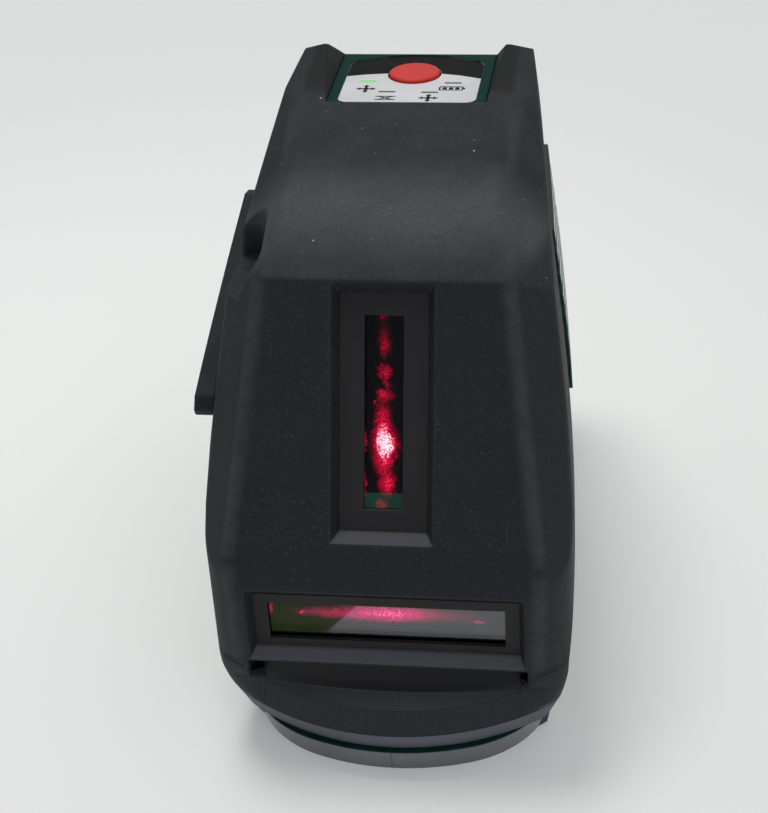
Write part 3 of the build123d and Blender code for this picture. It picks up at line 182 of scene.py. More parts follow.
def mould_grain_group():
    """Fine spark-eroded grain of a mould and slow clouding of the plastic."""
    takes = (("Grain", FLOAT, 2400.0), ("Cloud", FLOAT, 55.0))
    tree, taken, given = new_group("mould_grain", takes, (("Height", FLOAT), ("Shade", FLOAT)))
    where = place(tree)
    fine = noise(tree, where, taken["Grain"], 2.0, 0.6)
    coarse = noise(tree, where, times(tree, taken["Grain"], COARSE_GRAIN), 1.0)
    feed(tree, weighed(tree, fine, coarse, FINE_GRAIN_SHARE), given["Height"])
    feed(tree, spread(tree, noise(tree, where, taken["Cloud"], 4.0, 0.6), 0.32, 0.68), given["Shade"])
    return tree


def dust_group():
    """Sparse pale specks, and a thin film on faces that look upwards."""
    takes = (("Specks", FLOAT, 330.0), ("Share", FLOAT, 0.1), ("Film", FLOAT, 0.1))
    tree, taken, given = new_group("settled_dust", takes, MASK)
    where = place(tree)
    total = 0.0
    for scale, size in SPECKS:
        cells = put(tree, "ShaderNodeTexVoronoi")
        feed(tree, where, cells.inputs["Vector"])
        feed(tree, times(tree, taken["Specks"], scale), cells.inputs["Scale"])
        cells.inputs["Randomness"].default_value = 1.0
        lot = put(tree, "ShaderNodeSeparateColor")
        feed(tree, cells.outputs["Color"], lot.inputs[0])
        kept = maths(tree, "LESS_THAN", lot.outputs[0], taken["Share"])
        speck = maths(tree, "LESS_THAN", cells.outputs["Distance"], times(tree, lot.outputs[1], size))
        total = maths(tree, "ADD", total, times(tree, speck, kept), True)
    up = parts_of_normal(tree)[2]
    clouds = spread(tree, noise(tree, where, 160.0, 5.0, 0.65), 0.35, 0.75)
    film = times(tree, spread(tree, up, 0.2, 0.9), taken["Film"], clouds)
    lies = spread(tree, up, 0.4, 0.85, 0.06, 0.9)
    feed(tree, largest(tree, times(tree, total, lies), film), given["Mask"])
    return tree


def edge_group():
    """Rounded look of a moulded edge, and the paler line that handling leaves along it."""
    takes = (("Round", FLOAT, 0.0005),)
    tree, taken, given = new_group("worn_edge", takes, (("Normal", VECTOR), ("Wear", FLOAT)))
    soft = put(tree, "ShaderNodeBevel", samples=6)
    feed(tree, taken["Round"], soft.inputs["Radius"])
    flat = put(tree, "ShaderNodeNewGeometry").outputs["Normal"]
    turn = put(tree, "ShaderNodeVectorMath", operation="DOT_PRODUCT")
    feed(tree, soft.outputs[0], turn.inputs[0])
    feed(tree, flat, turn.inputs[1])
    edge = spread(tree, maths(tree, "SUBTRACT", 1.0, turn.outputs["Value"]), 0.004, 0.12)
    patchy = patches(tree, 420.0, 5.0, 0.7, (0.3, 0.7), (0.25, 1.0))
    feed(tree, soft.outputs[0], given["Normal"])
    feed(tree, times(tree, edge, patchy), given["Wear"])
    return tree


def painted_bounce_group():
    """Painted floor-bounce light: faces at the front near the ground that look down, made pale."""
    takes = (("Top", FLOAT, 0.01),)
    tree, taken, given = new_group("painted_bounce", takes, MASK)
    at = parts_of_place(tree)
    full_at = maths(tree, "SUBTRACT", taken["Top"], PAINTED_BOUNCE_SOFTNESS)
    low = spread(tree, at[2], taken["Top"], full_at)
    down = spread(tree, parts_of_normal(tree)[2], 0.05, -0.2)
    front = spread_mm(tree, at[1], -24.0, -40.0)
    feed(tree, times(tree, front, low, down), given["Mask"])
    return tree


# Heights on the nose, in mm, of painted light and shade: where a tone comes in, and where it ends
BAND_Z = ((10.4, 11.0), (16.0, 15.4))
SHELF_Z = ((15.5, 16.0), (19.2, 18.0))
WALL_Z = ((16.4, 18.5), (24.6, 23.8))
LEDGE_Z = ((24.3, 24.6), (27.2, 26.8))
SILL_Z = ((47.0, 48.0), (55.0, 54.0))
BAND_SHARE, SHELF_SHARE, SILL_SHARE = 0.13, 0.40, 0.55


def nose_light_and_shade_group():
    """Painted shade on the wall under the wide window, and painted light on the band, shelf, ledge and sill round it.
    """
    tree, _, given = new_group("nose_light_and_shade", (), (("Dark", FLOAT), ("Pale", FLOAT)))
    at = parts_of_place(tree)
    turn = parts_of_normal(tree)
    across = maths(tree, "ABSOLUTE", at[0])
    # Painted shade on the front faces of the wall under the wide window.
    front = times(tree, spread_mm(tree, at[1], -50.0, -52.0), spread(tree, turn[1], -0.5, -0.8))
    middle = spread_mm(tree, across, 26.2, 25.4)
    feed(tree, times(tree, front, middle, between(tree, at[2], *WALL_Z)), given["Dark"])
    # Painted light: the band paler towards the front, and shelf, ledge and sill paler where they face up.
    band = spread_mm(tree, at[1], -44.0, -54.0, 0.0, BAND_SHARE)
    shelf = spread(tree, turn[2], 0.3, 0.6, 0.0, SHELF_SHARE)
    ledge = times(tree, spread(tree, turn[2], 0.3, 0.5), spread_mm(tree, at[1], -53.0, -54.0))
    sill = times(tree, spread(tree, turn[2], 0.55, 0.7, 0.0, SILL_SHARE), spread_mm(tree, across, 9.5, 9.0))
    lit_faces = ((band, BAND_Z), (shelf, SHELF_Z), (ledge, LEDGE_Z), (sill, SILL_Z))
    pale = [times(tree, tone, between(tree, at[2], *heights)) for tone, heights in lit_faces]
    feed(tree, largest(tree, *pale), given["Pale"])
    return tree


HOOD_HIGHLIGHT_Y = -20.5
HOOD_HIGHLIGHT_REACH = 13.5


def hood_dust_and_highlight_group():
    """Painted highlight band across the front of the hood, broken up as a fine pale dust film."""
    tree, _, given = new_group("hood_dust_and_highlight", (), MASK)
    at = parts_of_place(tree)
    along = maths(tree, "ABSOLUTE", maths(tree, "SUBTRACT", at[1], HOOD_HIGHLIGHT_Y * MM))
    film = times(
        tree,
        spread_mm(tree, along, 0.0, HOOD_HIGHLIGHT_REACH, 1.0, 0.0),
        spread_mm(tree, at[2], 90.5, 93.5),
        patches(tree, 1900.0, 3.0, 0.7, (0.35, 0.65), (0.6, 1.0)),
        patches(tree, 70.0, 3.0, 0.6, (0.3, 0.7), (0.7, 1.0)),
    )
    feed(tree, film, given["Mask"])
    return tree


# Ends of the ridges on the right, in mm; the left side mirrors them
RIDGES = (
    ((22.2, -33.9, 92.4), (28.2, -56.4, 46.5)),
    ((28.1, -57.1, 46.5), (27.7, -57.3, 24.0)),
    ((21.9, -18.0, 100.6), (22.2, -33.9, 92.4)),
    ((20.6, 5.7, 107.0), (21.9, -18.0, 100.6)),
)
RIDGE_CORE, RIDGE_REACH = 0.2, 2.6
RIDGE_RUN_OUT, RIDGE_RUN_IN = 0.001, 0.002


def ridge_highlight_group():
    """Painted highlight along the long ridges beside the face and the hood."""
    tree, _, given = new_group("ridge_highlights", (), MASK)
    at = parts_of_place(tree)
    mirrored = put(tree, "ShaderNodeCombineXYZ")
    feed(tree, maths(tree, "ABSOLUTE", at[0]), mirrored.inputs[0])
    feed(tree, at[1], mirrored.inputs[1])
    feed(tree, at[2], mirrored.inputs[2])
    total = 0.0
    for start, end in RIDGES:
        a, b = Vector(start) * MM, Vector(end) * MM
        off = put(tree, "ShaderNodeVectorMath", operation="SUBTRACT")
        feed(tree, mirrored.outputs[0], off.inputs[0])
        off.inputs[1].default_value = a
        side = put(tree, "ShaderNodeVectorMath", operation="CROSS_PRODUCT")
        feed(tree, off.outputs[0], side.inputs[0])
        side.inputs[1].default_value = (b - a).normalized()
        gap = put(tree, "ShaderNodeVectorMath", operation="LENGTH")
        feed(tree, side.outputs[0], gap.inputs[0])
        line = spread_mm(tree, gap.outputs["Value"], RIDGE_CORE, RIDGE_REACH, 1.0, 0.0)
        low, high = sorted((a.z, b.z))
        over = spread(tree, at[2], low - RIDGE_RUN_OUT, low + RIDGE_RUN_IN)
        under = spread(tree, at[2], high + RIDGE_RUN_OUT, high - RIDGE_RUN_IN)
        total = largest(tree, total, times(tree, line, over, under))
    patchy = patches(tree, 260.0, 5.0, 0.7, (0.3, 0.7), (0.45, 1.0))
    feed(tree, times(tree, total, patchy), given["Mask"])
    return tree


def flecks_group():
    """Fine pale flecks in the rubber's skin."""
    tree, _, given = new_group("flecks", (), MASK)
    fine = patches(tree, 2300.0, 2.0, 0.6, (0.54, 0.74), (0.0, 0.8))
    cloud = patches(tree, 120.0, 3.0, 0.6, (0.3, 0.7), (0.4, 1.0))
    feed(tree, times(tree, fine, cloud), given["Mask"])
    return tree


def horn_painted_shade_group():
    """Painted shade on the inner flanks of the horns, darker than the outside."""
    tree, _, given = new_group("horn_painted_shade", (), MASK)
    at = parts_of_place(tree)
    inner = spread_mm(tree, maths(tree, "ABSOLUTE", at[0]), 19.0, 20.5, 1.0, 0.0)
    feed(tree, times(tree, inner, spread_mm(tree, at[1], 7.0, 11.0)), given["Mask"])
    return tree


GRAIN = mould_grain_group()
FLECKS = flecks_group()
HORN_PAINTED_SHADE = horn_painted_shade_group()
PAINTED_BOUNCE = painted_bounce_group()
RIDGE_HIGHLIGHTS = ridge_highlight_group()
NOSE_LIGHT_AND_SHADE = nose_light_and_shade_group()
HOOD_DUST_AND_HIGHLIGHT = hood_dust_and_highlight_group()
DUST = dust_group()
EDGE = edge_group()


def use(tree, group, **values):
    """Places a shared effect in a material."""
    node = put(tree, "ShaderNodeGroup", node_tree=group)
    for key, value in values.items():
        feed(tree, value, node.inputs[key])
    return node.outputs


# Finishes

NO_DUST = (330.0, 0.0, 0.0)
DUST_COLOUR = rgb(0.55, 0.54, 0.52)
DUST_ROUGHNESS = 0.9
CLOUD_GLOSS_SHARE = 0.6


def finish(name, **plain):
    """New material with a principled shader and its plain values."""
    material = bpy.data.materials.new(name)
    material.use_nodes = True
    shader = material.node_tree.nodes["Principled BSDF"]
    for key, value in plain.items():
        shader.inputs[key.replace("_", " ")].default_value = value
    return material, material.node_tree, shader


def bump(tree, height, depth, normal=None, strength=1.0):
    """Normal of a surface with this relief."""
    node = put(tree, "ShaderNodeBump")
    feed(tree, height, node.inputs["Height"])
    node.inputs["Distance"].default_value = depth
    node.inputs["Strength"].default_value = strength
    if normal is not None:
        feed(tree, normal, node.inputs["Normal"])
    return node.outputs[0]


def moulded(name, dark, light, worn, rough, grain, depth, dust=NO_DUST, edge=0.0005, cloud=55.0, bounce_paint=None, **plain):
    """Moulded plastic or rubber: clouded colour, grain, paler edges, painted floor-bounce light on low faces that
    look down, and settled dust.
    """
    material, tree, shader = finish(name, **plain)
    skin = use(tree, GRAIN, Grain=grain, Cloud=cloud)
    edges = use(tree, EDGE, Round=edge)
    specks = use(tree, DUST, Specks=dust[0], Share=dust[1], Film=dust[2])["Mask"]
    colour = blend_colour(tree, skin["Shade"], rgb(*dark), rgb(*light))
    # Painted light: low front faces that look down take a pale colour, as if lit from the floor.
    if bounce_paint:
        top, bounce_paint_dark, bounce_paint_light = bounce_paint
        bounce_lit = blend_colour(tree, skin["Shade"], rgb(*bounce_paint_dark), rgb(*bounce_paint_light))
        colour = blend_colour(tree, use(tree, PAINTED_BOUNCE, Top=top)["Mask"], colour, bounce_lit)
    colour = blend_colour(tree, edges["Wear"], colour, rgb(*worn))
    colour = blend_colour(tree, specks, colour, DUST_COLOUR)
    feed(tree, colour, shader.inputs["Base Color"])
    gloss = spread(tree, weighed(tree, skin["Shade"], skin["Height"], CLOUD_GLOSS_SHARE), 0.0, 1.0, *rough)
    feed(tree, largest(tree, gloss, times(tree, specks, DUST_ROUGHNESS)), shader.inputs["Roughness"])
    feed(tree, bump(tree, skin["Height"], depth, edges["Normal"]), shader.inputs["Normal"])
    return material


def metal(name, dark, light, rough):
    """Worked metal with fine marks."""
    material, tree, shader = finish(name, Metallic=1.0)
    marks = noise(tree, place(tree), 1200.0, 5.0, 0.65)
    edges = use(tree, EDGE, Round=0.0002)
    tone = spread(tree, marks, 0.3, 0.7)
    feed(tree, blend_colour(tree, tone, rgb(*dark), rgb(*light)), shader.inputs["Base Color"])
    feed(tree, spread(tree, marks, 0.25, 0.75, *rough), shader.inputs["Roughness"])
    feed(tree, bump(tree, marks, 0.00002, edges["Normal"], 0.5), shader.inputs["Normal"])
    return material


def soft_grip():
    """Black soft-touch rubber with pale flecks and dust, painted highlights on its ridges and hood, painted light and
    shade on its nose, painted shade inside the horns, and painted floor-bounce light on low faces that look down.
    """
    material = moulded(
        "soft_grip", (0.0098, 0.0108, 0.0160), (0.0122, 0.0133, 0.0190), (0.040, 0.042, 0.048),
        rough=(0.66, 0.74), grain=2600.0, depth=0.00005, dust=(300.0, 0.30, 0.02), edge=0.0010, cloud=28.0,
        bounce_paint=(0.0116, (0.135, 0.145, 0.168), (0.150, 0.161, 0.188)), Specular_IOR_Level=0.36,
    )
    tree = material.node_tree
    base = tree.nodes["Principled BSDF"].inputs["Base Color"]
    nose_light_shade = use(tree, NOSE_LIGHT_AND_SHADE)
    colour = base.links[0].from_socket
    for mask, tint in (
        # Painted highlight along the ridges beside the face and the hood.
        (use(tree, RIDGE_HIGHLIGHTS)["Mask"], rgb(0.044, 0.047, 0.053)),
        # Painted highlight band on the front of the hood, with a pale dust film in it.
        (use(tree, HOOD_DUST_AND_HIGHLIGHT)["Mask"], rgb(0.078, 0.0785, 0.082)),
        (use(tree, FLECKS)["Mask"], rgb(0.052, 0.054, 0.060)),
        # Painted shade on the inner flanks of the horns.
        (use(tree, HORN_PAINTED_SHADE)["Mask"], rgb(0.002, 0.002, 0.003)),
        # Painted light on the band, shelf, ledge and sill of the nose.
        (nose_light_shade["Pale"], rgb(0.105, 0.110, 0.124)),
        # Painted shade on the wall under the wide window.
        (nose_light_shade["Dark"], rgb(0.001, 0.001, 0.0025)),
    ):
        colour = blend_colour(tree, mask, colour, tint)
    feed(tree, colour, base)
    return material


def housing_green():
    """Dark green glossy housing plastic, with painted floor-bounce light on its low front faces that look down."""
    return moulded(
        "housing_green", (0.0030, 0.0310, 0.0220), (0.0042, 0.0390, 0.0285), (0.020, 0.075, 0.060),
        rough=(0.14, 0.20), grain=3200.0, depth=0.000012, dust=(420.0, 0.14, 0.02), edge=0.0004,
        bounce_paint=(0.0070, (0.190, 0.198, 0.212), (0.215, 0.224, 0.240)), Specular_IOR_Level=0.3,
    )


def panel_green():
    """Dull green panel round the label."""
    return moulded(
        "panel_green", (0.0025, 0.0330, 0.0230), (0.0036, 0.0420, 0.0300), (0.010, 0.075, 0.058),
        rough=(0.5, 0.6), grain=2400.0, depth=0.00003, dust=(420.0, 0.14, 0.0), edge=0.0004,
        Specular_IOR_Level=0.05,
    )


def bezel_grey():
    """Olive grey window frames with a coarse moulded texture."""
    return moulded(
        "bezel_grey", (0.0105, 0.0088, 0.0098), (0.0140, 0.0120, 0.0128), (0.034, 0.033, 0.034),
        rough=(0.62, 0.76), grain=1700.0, depth=0.00009, dust=(420.0, 0.04, 0.01), edge=0.0003,
    )


def black_plastic():
    """Inner black plastic."""
    return moulded(
        "black_plastic", (0.010, 0.010, 0.011), (0.016, 0.016, 0.017), (0.04, 0.04, 0.04),
        rough=(0.38, 0.5), grain=2400.0, depth=0.00003,
    )


def seal_rubber():
    """Window gaskets."""
    return moulded(
        "seal_rubber", (0.008, 0.008, 0.009), (0.013, 0.013, 0.013), (0.03, 0.03, 0.03),
        rough=(0.7, 0.85), grain=2000.0, depth=0.00004,
    )


def button_red():
    """Red button cap, a little paler along its edge."""
    return moulded(
        "button_red", (0.62, 0.026, 0.020), (0.70, 0.036, 0.028), (0.76, 0.11, 0.09),
        rough=(0.34, 0.44), grain=3000.0, depth=0.00002, dust=(600.0, 0.05, 0.0), edge=0.0003,
        Specular_IOR_Level=0.2,
    )


def window_glass():
    """Clear pane with a few faint smears."""
    material, tree, shader = finish("window_glass", IOR=1.18, Transmission_Weight=1.0)
    smear = spread(tree, noise(tree, place(tree), 130.0, 4.0, 0.6), 0.5, 0.75)
    specks = use(tree, DUST, Specks=500.0, Share=0.05, Film=0.0)["Mask"]
    tint = blend_colour(tree, smear, rgb(0.95, 0.96, 0.96), rgb(0.90, 0.91, 0.91))
    feed(tree, tint, shader.inputs["Base Color"])
    rough = maths(tree, "ADD", times(tree, smear, 0.06), times(tree, specks, 0.4))
    feed(tree, rough, shader.inputs["Roughness"])
    return material


def lens_glass():
    """Rod lens, lit from behind by its laser: white hot in the middle and red towards the ends."""
    material, tree, shader = finish("lens_glass", IOR=1.5, Roughness=0.08, Emission_Strength=6.0)
    off = maths(tree, "ABSOLUTE", parts_of_place(tree)[0])
    core = spread_mm(tree, off, 0.2, 2.2, 1.0, 0.0)
    grain = noise(tree, place(tree), 3800.0, 2.0, 0.7)
    glow = blend_colour(tree, core, rgb(0.05, 0.0, 0.003), rgb(1.0, 0.42, 0.52))
    glow = blend_colour(tree, spread(tree, grain, 0.3, 0.62, 0.7, 0.0), glow, rgb(0.3, 0.005, 0.03))
    feed(tree, glow, shader.inputs["Emission Color"])
    tint = blend_colour(tree, grain, rgb(0.5, 0.4, 0.4), rgb(0.7, 0.6, 0.6))
    feed(tree, tint, shader.inputs["Base Color"])
    return material


def label_print():
    """White printed film."""
    material, tree, shader = finish("label_print")
    skin = use(tree, GRAIN, Grain=5200.0, Cloud=90.0)
    specks = use(tree, DUST, Specks=600.0, Share=0.04, Film=0.0)["Mask"]
    white = blend_colour(tree, skin["Shade"], rgb(0.67, 0.67, 0.68), rgb(0.73, 0.73, 0.73))
    feed(tree, blend_colour(tree, specks, white, rgb(0.25, 0.25, 0.24)), shader.inputs["Base Color"])
    feed(tree, spread(tree, skin["Shade"], 0.0, 1.0, 0.30, 0.42), shader.inputs["Roughness"])
    feed(tree, bump(tree, skin["Height"], 0.00001), shader.inputs["Normal"])
    return material


def label_ink():
    """Black ink of the label."""
    material, tree, shader = finish("label_ink", Specular_IOR_Level=0.05)
    skin = use(tree, GRAIN, Grain=5200.0, Cloud=140.0)
    black = blend_colour(tree, skin["Shade"], rgb(0.007, 0.007, 0.008), rgb(0.011, 0.011, 0.012))
    feed(tree, black, shader.inputs["Base Color"])
    feed(tree, spread(tree, skin["Height"], 0.2, 0.8, 0.45, 0.6), shader.inputs["Roughness"])
    feed(tree, bump(tree, skin["Height"], 0.00001), shader.inputs["Normal"])
    return material


def light_bars():
    """Light pipes: the one over the first sign is lit green."""
    material, tree, shader = finish("light_bars", Emission_Strength=1.0)
    lit = spread_mm(tree, parts_of_place(tree)[0], -6.2, -6.0, 1.0, 0.0)
    milk = noise(tree, place(tree), 1500.0)
    dull = blend_colour(tree, milk, rgb(0.03, 0.032, 0.032), rgb(0.06, 0.062, 0.06))
    feed(tree, dull, shader.inputs["Base Color"])
    feed(tree, blend_colour(tree, lit, rgb(0, 0, 0), rgb(0.10, 0.62, 0.10)), shader.inputs["Emission Color"])
    feed(tree, spread(tree, milk, 0.3, 0.7, 0.3, 0.5), shader.inputs["Roughness"])
    return material


def circuit_board():
    """Green board with copper tracks under the lacquer."""
    material, tree, shader = finish("circuit_board", Coat_Weight=0.4)
    bricks = put(tree, "ShaderNodeTexBrick")
    feed(tree, place(tree), bricks.inputs["Vector"])
    bricks.inputs["Scale"].default_value = 260.0
    bricks.inputs["Mortar Size"].default_value = 0.06
    tracks = bricks.outputs["Fac"]
    weave = noise(tree, place(tree), 900.0, 3.0)
    lacquer = blend_colour(tree, weave, rgb(0.004, 0.050, 0.028), rgb(0.007, 0.075, 0.040))
    feed(tree, blend_colour(tree, tracks, lacquer, rgb(0.02, 0.16, 0.07)), shader.inputs["Base Color"])
    feed(tree, spread(tree, weave, 0.3, 0.7, 0.3, 0.45), shader.inputs["Roughness"])
    feed(tree, bump(tree, tracks, 0.00003), shader.inputs["Normal"])
    return material


CELL_MIDDLE_Z = 0.0352
JACKET_END = (23.8, 24.0)


def cell_jacket():
    """Plain grey jackets of the battery cells between bare steel ends."""
    material, tree, shader = finish("cell_jacket")
    end = maths(tree, "ABSOLUTE", maths(tree, "SUBTRACT", parts_of_place(tree)[2], CELL_MIDDLE_Z))
    sheen = noise(tree, place(tree), 500.0, 3.0)
    jacket = blend_colour(tree, sheen, rgb(0.20, 0.22, 0.24), rgb(0.25, 0.27, 0.29))
    steel = blend_colour(tree, sheen, rgb(0.46, 0.46, 0.45), rgb(0.56, 0.56, 0.55))
    bare = spread_mm(tree, end, *JACKET_END)
    feed(tree, blend_colour(tree, bare, jacket, steel), shader.inputs["Base Color"])
    feed(tree, spread(tree, sheen, 0.3, 0.7, 0.26, 0.40), shader.inputs["Roughness"])
    feed(tree, spread_mm(tree, end, *JACKET_END, 0.0, 0.9), shader.inputs["Metallic"])
    return material


# Laser light in the panes: middle and reach of each spot in mm, and its power
TALL_SPOTS = (
    ((-0.5, 83.9), (1.2, 0.7), 0.26), ((-0.3, 81.0), (1.4, 2.6), 0.10), ((-0.2, 79.2), (1.5, 2.2), 0.30),
    ((-0.1, 75.1), (1.8, 1.7), 0.52), ((0.2, 73.2), (0.9, 0.9), 0.3), ((-0.1, 71.4), (2.0, 1.4), 0.60),
    ((-1.8, 70.2), (0.5, 0.5), 0.7), ((-0.4, 67.6), (1.9, 3.6), 0.65), ((-0.4, 65.4), (2.5, 3.0), 0.55),
    ((-0.05, 63.6), (3.2, 4.2), 0.65), ((-0.05, 63.6), (2.3, 2.6), 2.8), ((-0.2, 60.7), (2.3, 3.2), 0.75),
    ((0.45, 57.3), (2.0, 2.6), 0.90), ((-3.6, 64.0), (0.45, 2.2), 0.5), ((-3.6, 57.4), (0.45, 3.0), 0.4),
    ((-0.6, 53.6), (1.6, 1.6), 0.25),
)
WIDE_SPOTS = (
    ((0.5, 32.7), (21.5, 2.2), 0.24), ((-0.3, 33.0), (14.5, 2.8), 0.34), ((0.0, 33.0), (9.5, 2.6), 0.42),
    ((-22.0, 33.4), (1.0, 2.6), 0.40), ((-15.7, 32.4), (1.0, 0.5), 1.0), ((16.7, 31.7), (1.3, 0.5), 0.6),
    ((-11.0, 32.6), (8.0, 1.6), 0.2),
)
SHAKE = 0.0020
RED = 0.95
WHITE_FROM, WHITE_GREEN, WHITE_BLUE = 0.95, 2.2, 2.0
SLANT_TOP_Z, SLANT = 0.0341, 0.91


def spot(tree, across, up, where, reach, power):
    """Soft oval of light: full in the middle and gone at its reach."""
    x = maths(tree, "DIVIDE", maths(tree, "SUBTRACT", across, where[0] * MM), reach[0] * MM)
    z = maths(tree, "DIVIDE", maths(tree, "SUBTRACT", up, where[1] * MM), reach[1] * MM)
    far = maths(tree, "SQRT", maths(tree, "ADD", times(tree, x, x), times(tree, z, z)))
    return spread(tree, far, 0.0, 1.0, power, 0.0)


def laser_red(tree, light, blue):
    """Colour of laser light: deep red with a share of blue where it is weak, white where it is strong."""
    colour = put(tree, "ShaderNodeCombineColor")
    feed(tree, times(tree, light, RED), colour.inputs[0])
    feed(tree, spread(tree, light, WHITE_FROM, WHITE_GREEN), colour.inputs[1])
    white = spread(tree, light, WHITE_FROM, WHITE_BLUE)
    feed(tree, maths(tree, "ADD", times(tree, light, blue), white), colour.inputs[2])
    return colour.outputs[0]


def laser_light(tree, spots, sparkle):
    """Light of many ragged spots together, with the grainy sparkle of a laser."""
    at = parts_of_place(tree)
    ragged = maths(tree, "SUBTRACT", noise(tree, place(tree), 900.0, 3.0, 0.6), 0.5)
    shake = times(tree, ragged, SHAKE)
    across = maths(tree, "ADD", at[0], shake)
    up = maths(tree, "SUBTRACT", at[2], shake)
    total = 0.0
    for where, reach, power in spots:
        total = maths(tree, "ADD", total, spot(tree, across, up, where, reach, power))
    return times(tree, total, patches(tree, 3400.0, 2.0, 0.7, (0.38, 0.62), sparkle))


def glow_finish(name):
    """New material for a film that shows light."""
    return finish(name, Roughness=0.6, Specular_IOR_Level=0.03, Emission_Strength=1.0)


def vertical_glow():
    """Light thrown by the beam on the inside of the tall pane, over the edge of a green board and a broken pale rim
    that are painted into the glow.
    """
    material, tree, shader = glow_finish("vertical_glow")
    light = laser_light(tree, TALL_SPOTS, (0.20, 1.45))
    up = parts_of_place(tree)[2]
    ripple = noise(tree, place(tree), 700.0, 3.0)
    # Painted glow: the green board and its pale rim shine from the film instead of being lit.
    green = blend_colour(tree, ripple, rgb(0.004, 0.018, 0.012), rgb(0.014, 0.045, 0.032))
    card = spread_mm(tree, up, 55.6, 55.8, 1.0, 0.0)
    back = blend_colour(tree, card, rgb(0.0015, 0.0012, 0.0015), green)
    broken = spread(tree, noise(tree, place(tree), 1800.0), 0.45, 0.6)
    rim = times(tree, spread_mm(tree, up, 53.0, 52.7), broken)
    back = blend_colour(tree, rim, back, rgb(0.22, 0.26, 0.24))
    shine = add_colours(tree, back, laser_red(tree, light, 0.05))
    feed(tree, shine, shader.inputs["Emission Color"])
    dark = blend_colour(tree, ripple, rgb(0.002, 0.002, 0.002), rgb(0.004, 0.003, 0.004))
    feed(tree, dark, shader.inputs["Base Color"])
    return material


def horizontal_glow():
    """Light of the level beam on the inside of the wide pane, over a painted slanting pale reflection and a painted
    dim olive inside, both shown as glow.
    """
    material, tree, shader = glow_finish("horizontal_glow")
    light = laser_light(tree, WIDE_SPOTS, (0.4, 1.4))
    at = parts_of_place(tree)
    # Painted glow: pale reflection right of a slanting line, brighter above 29 mm, and dim olive inside left of it.
    lean = times(tree, maths(tree, "SUBTRACT", at[2], SLANT_TOP_Z), SLANT)
    bright = spread_mm(tree, maths(tree, "SUBTRACT", at[0], lean), -6.4, -5.5)
    cloud = noise(tree, place(tree), 120.0, 4.0)
    dim = blend_colour(tree, cloud, rgb(0.004, 0.010, 0.000), rgb(0.014, 0.022, 0.002))
    high = spread_mm(tree, at[2], 28.5, 29.0)
    pale = blend_colour(tree, high, rgb(0.052, 0.054, 0.058), rgb(0.084, 0.086, 0.090))
    back = blend_colour(tree, bright, dim, pale)
    shine = add_colours(tree, back, laser_red(tree, light, 0.2))
    feed(tree, shine, shader.inputs["Emission Color"])
    dark = blend_colour(tree, cloud, rgb(0.004, 0.004, 0.003), rgb(0.008, 0.008, 0.007))
    feed(tree, dark, shader.inputs["Base Color"])
    return material


FINISHES = {
    "soft_grip": soft_grip(),
    "housing_green": housing_green(),
    "bezel_grey": bezel_grey(),
    "window_glass": window_glass(),
    "seal_rubber": seal_rubber(),
    "label_print": label_print(),
    "button_red": button_red(),
    "light_bars": light_bars(),
    "circuit_board": circuit_board(),
    "black_plastic": black_plastic(),
    "steel": metal("steel", (0.42, 0.42, 0.43), (0.58, 0.58, 0.58), (0.22, 0.42)),
    "cast_alloy": metal("cast_alloy", (0.30, 0.30, 0.31), (0.44, 0.44, 0.44), (0.42, 0.62)),
    "brass": metal("brass", (0.52, 0.36, 0.13), (0.68, 0.48, 0.19), (0.20, 0.38)),
    "copper": metal("copper", (0.60, 0.28, 0.17), (0.74, 0.38, 0.25), (0.22, 0.40)),
    "magnet_plate": metal("magnet_plate", (0.50, 0.49, 0.46), (0.62, 0.61, 0.58), (0.12, 0.26)),
    "lens_glass": lens_glass(),
    "cell_jacket": cell_jacket(),
}
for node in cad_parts.values():
    for holder in node.material_slots:
        holder.material = FINISHES[holder.material.name.split(".")[0]]
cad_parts["keypad_panel"].material_slots[0].material = panel_green()


# New pieces, in mm

FACE_TILT = radians(26.5)
KEYPAD_TILT = radians(4.8)
RIGHT = Vector((1.0, 0.0, 0.0))
LEFT = Vector((-1.0, 0.0, 0.0))
FRONT = Vector((0.0, -1.0, 0.0))
REAR = Vector((0.0, 1.0, 0.0))
UP = Vector((0.0, 0.0, 1.0))
FACE_OUT = Vector((0.0, -cos(FACE_TILT), sin(FACE_TILT)))
FACE_UP = Vector((0.0, sin(FACE_TILT), cos(FACE_TILT)))
KEYPAD_BACK = Vector((0.0, cos(KEYPAD_TILT), -sin(KEYPAD_TILT)))
KEYPAD_OUT = Vector((0.0, sin(KEYPAD_TILT), cos(KEYPAD_TILT)))


def plane(origin, across, up, out):
    """Frame of a plane: maps (u, v, height) in mm to metres."""
    origin = Vector(origin)
    return lambda u, v, h=0.0: (origin + across * u + up * v + out * h) * MM


def raised(bm, frame_of, outline, low, high):
    """Flat shape that stands from one height to another on a plane."""
    face = bm.faces.new([bm.verts.new(frame_of(u, v, low)) for u, v in outline])
    grown = bmesh.ops.extrude_face_region(bm, geom=[face])
    verts = [item for item in grown["geom"] if isinstance(item, bmesh.types.BMVert)]
    bmesh.ops.translate(bm, vec=frame_of(0, 0, high) - frame_of(0, 0, low), verts=verts)


def piece(name, bm, material, body):
    """Finished object from a mesh, riding on a body."""
    bmesh.ops.recalc_face_normals(bm, faces=bm.faces)
    mesh = bpy.data.meshes.new(name)
    bm.to_mesh(mesh)
    bm.free()
    thing = bpy.data.objects.new(name, mesh)
    bpy.context.scene.collection.objects.link(thing)
    mesh.materials.append(material)
    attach(thing, body)
    return thing


def surface_of(name):
    """Surface of a CAD node, to be met by rays."""
    bm = bmesh.new()
    bm.from_mesh(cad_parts[name].data)
    surface = BVHTree.FromBMesh(bm)
    bm.free()
    return surface


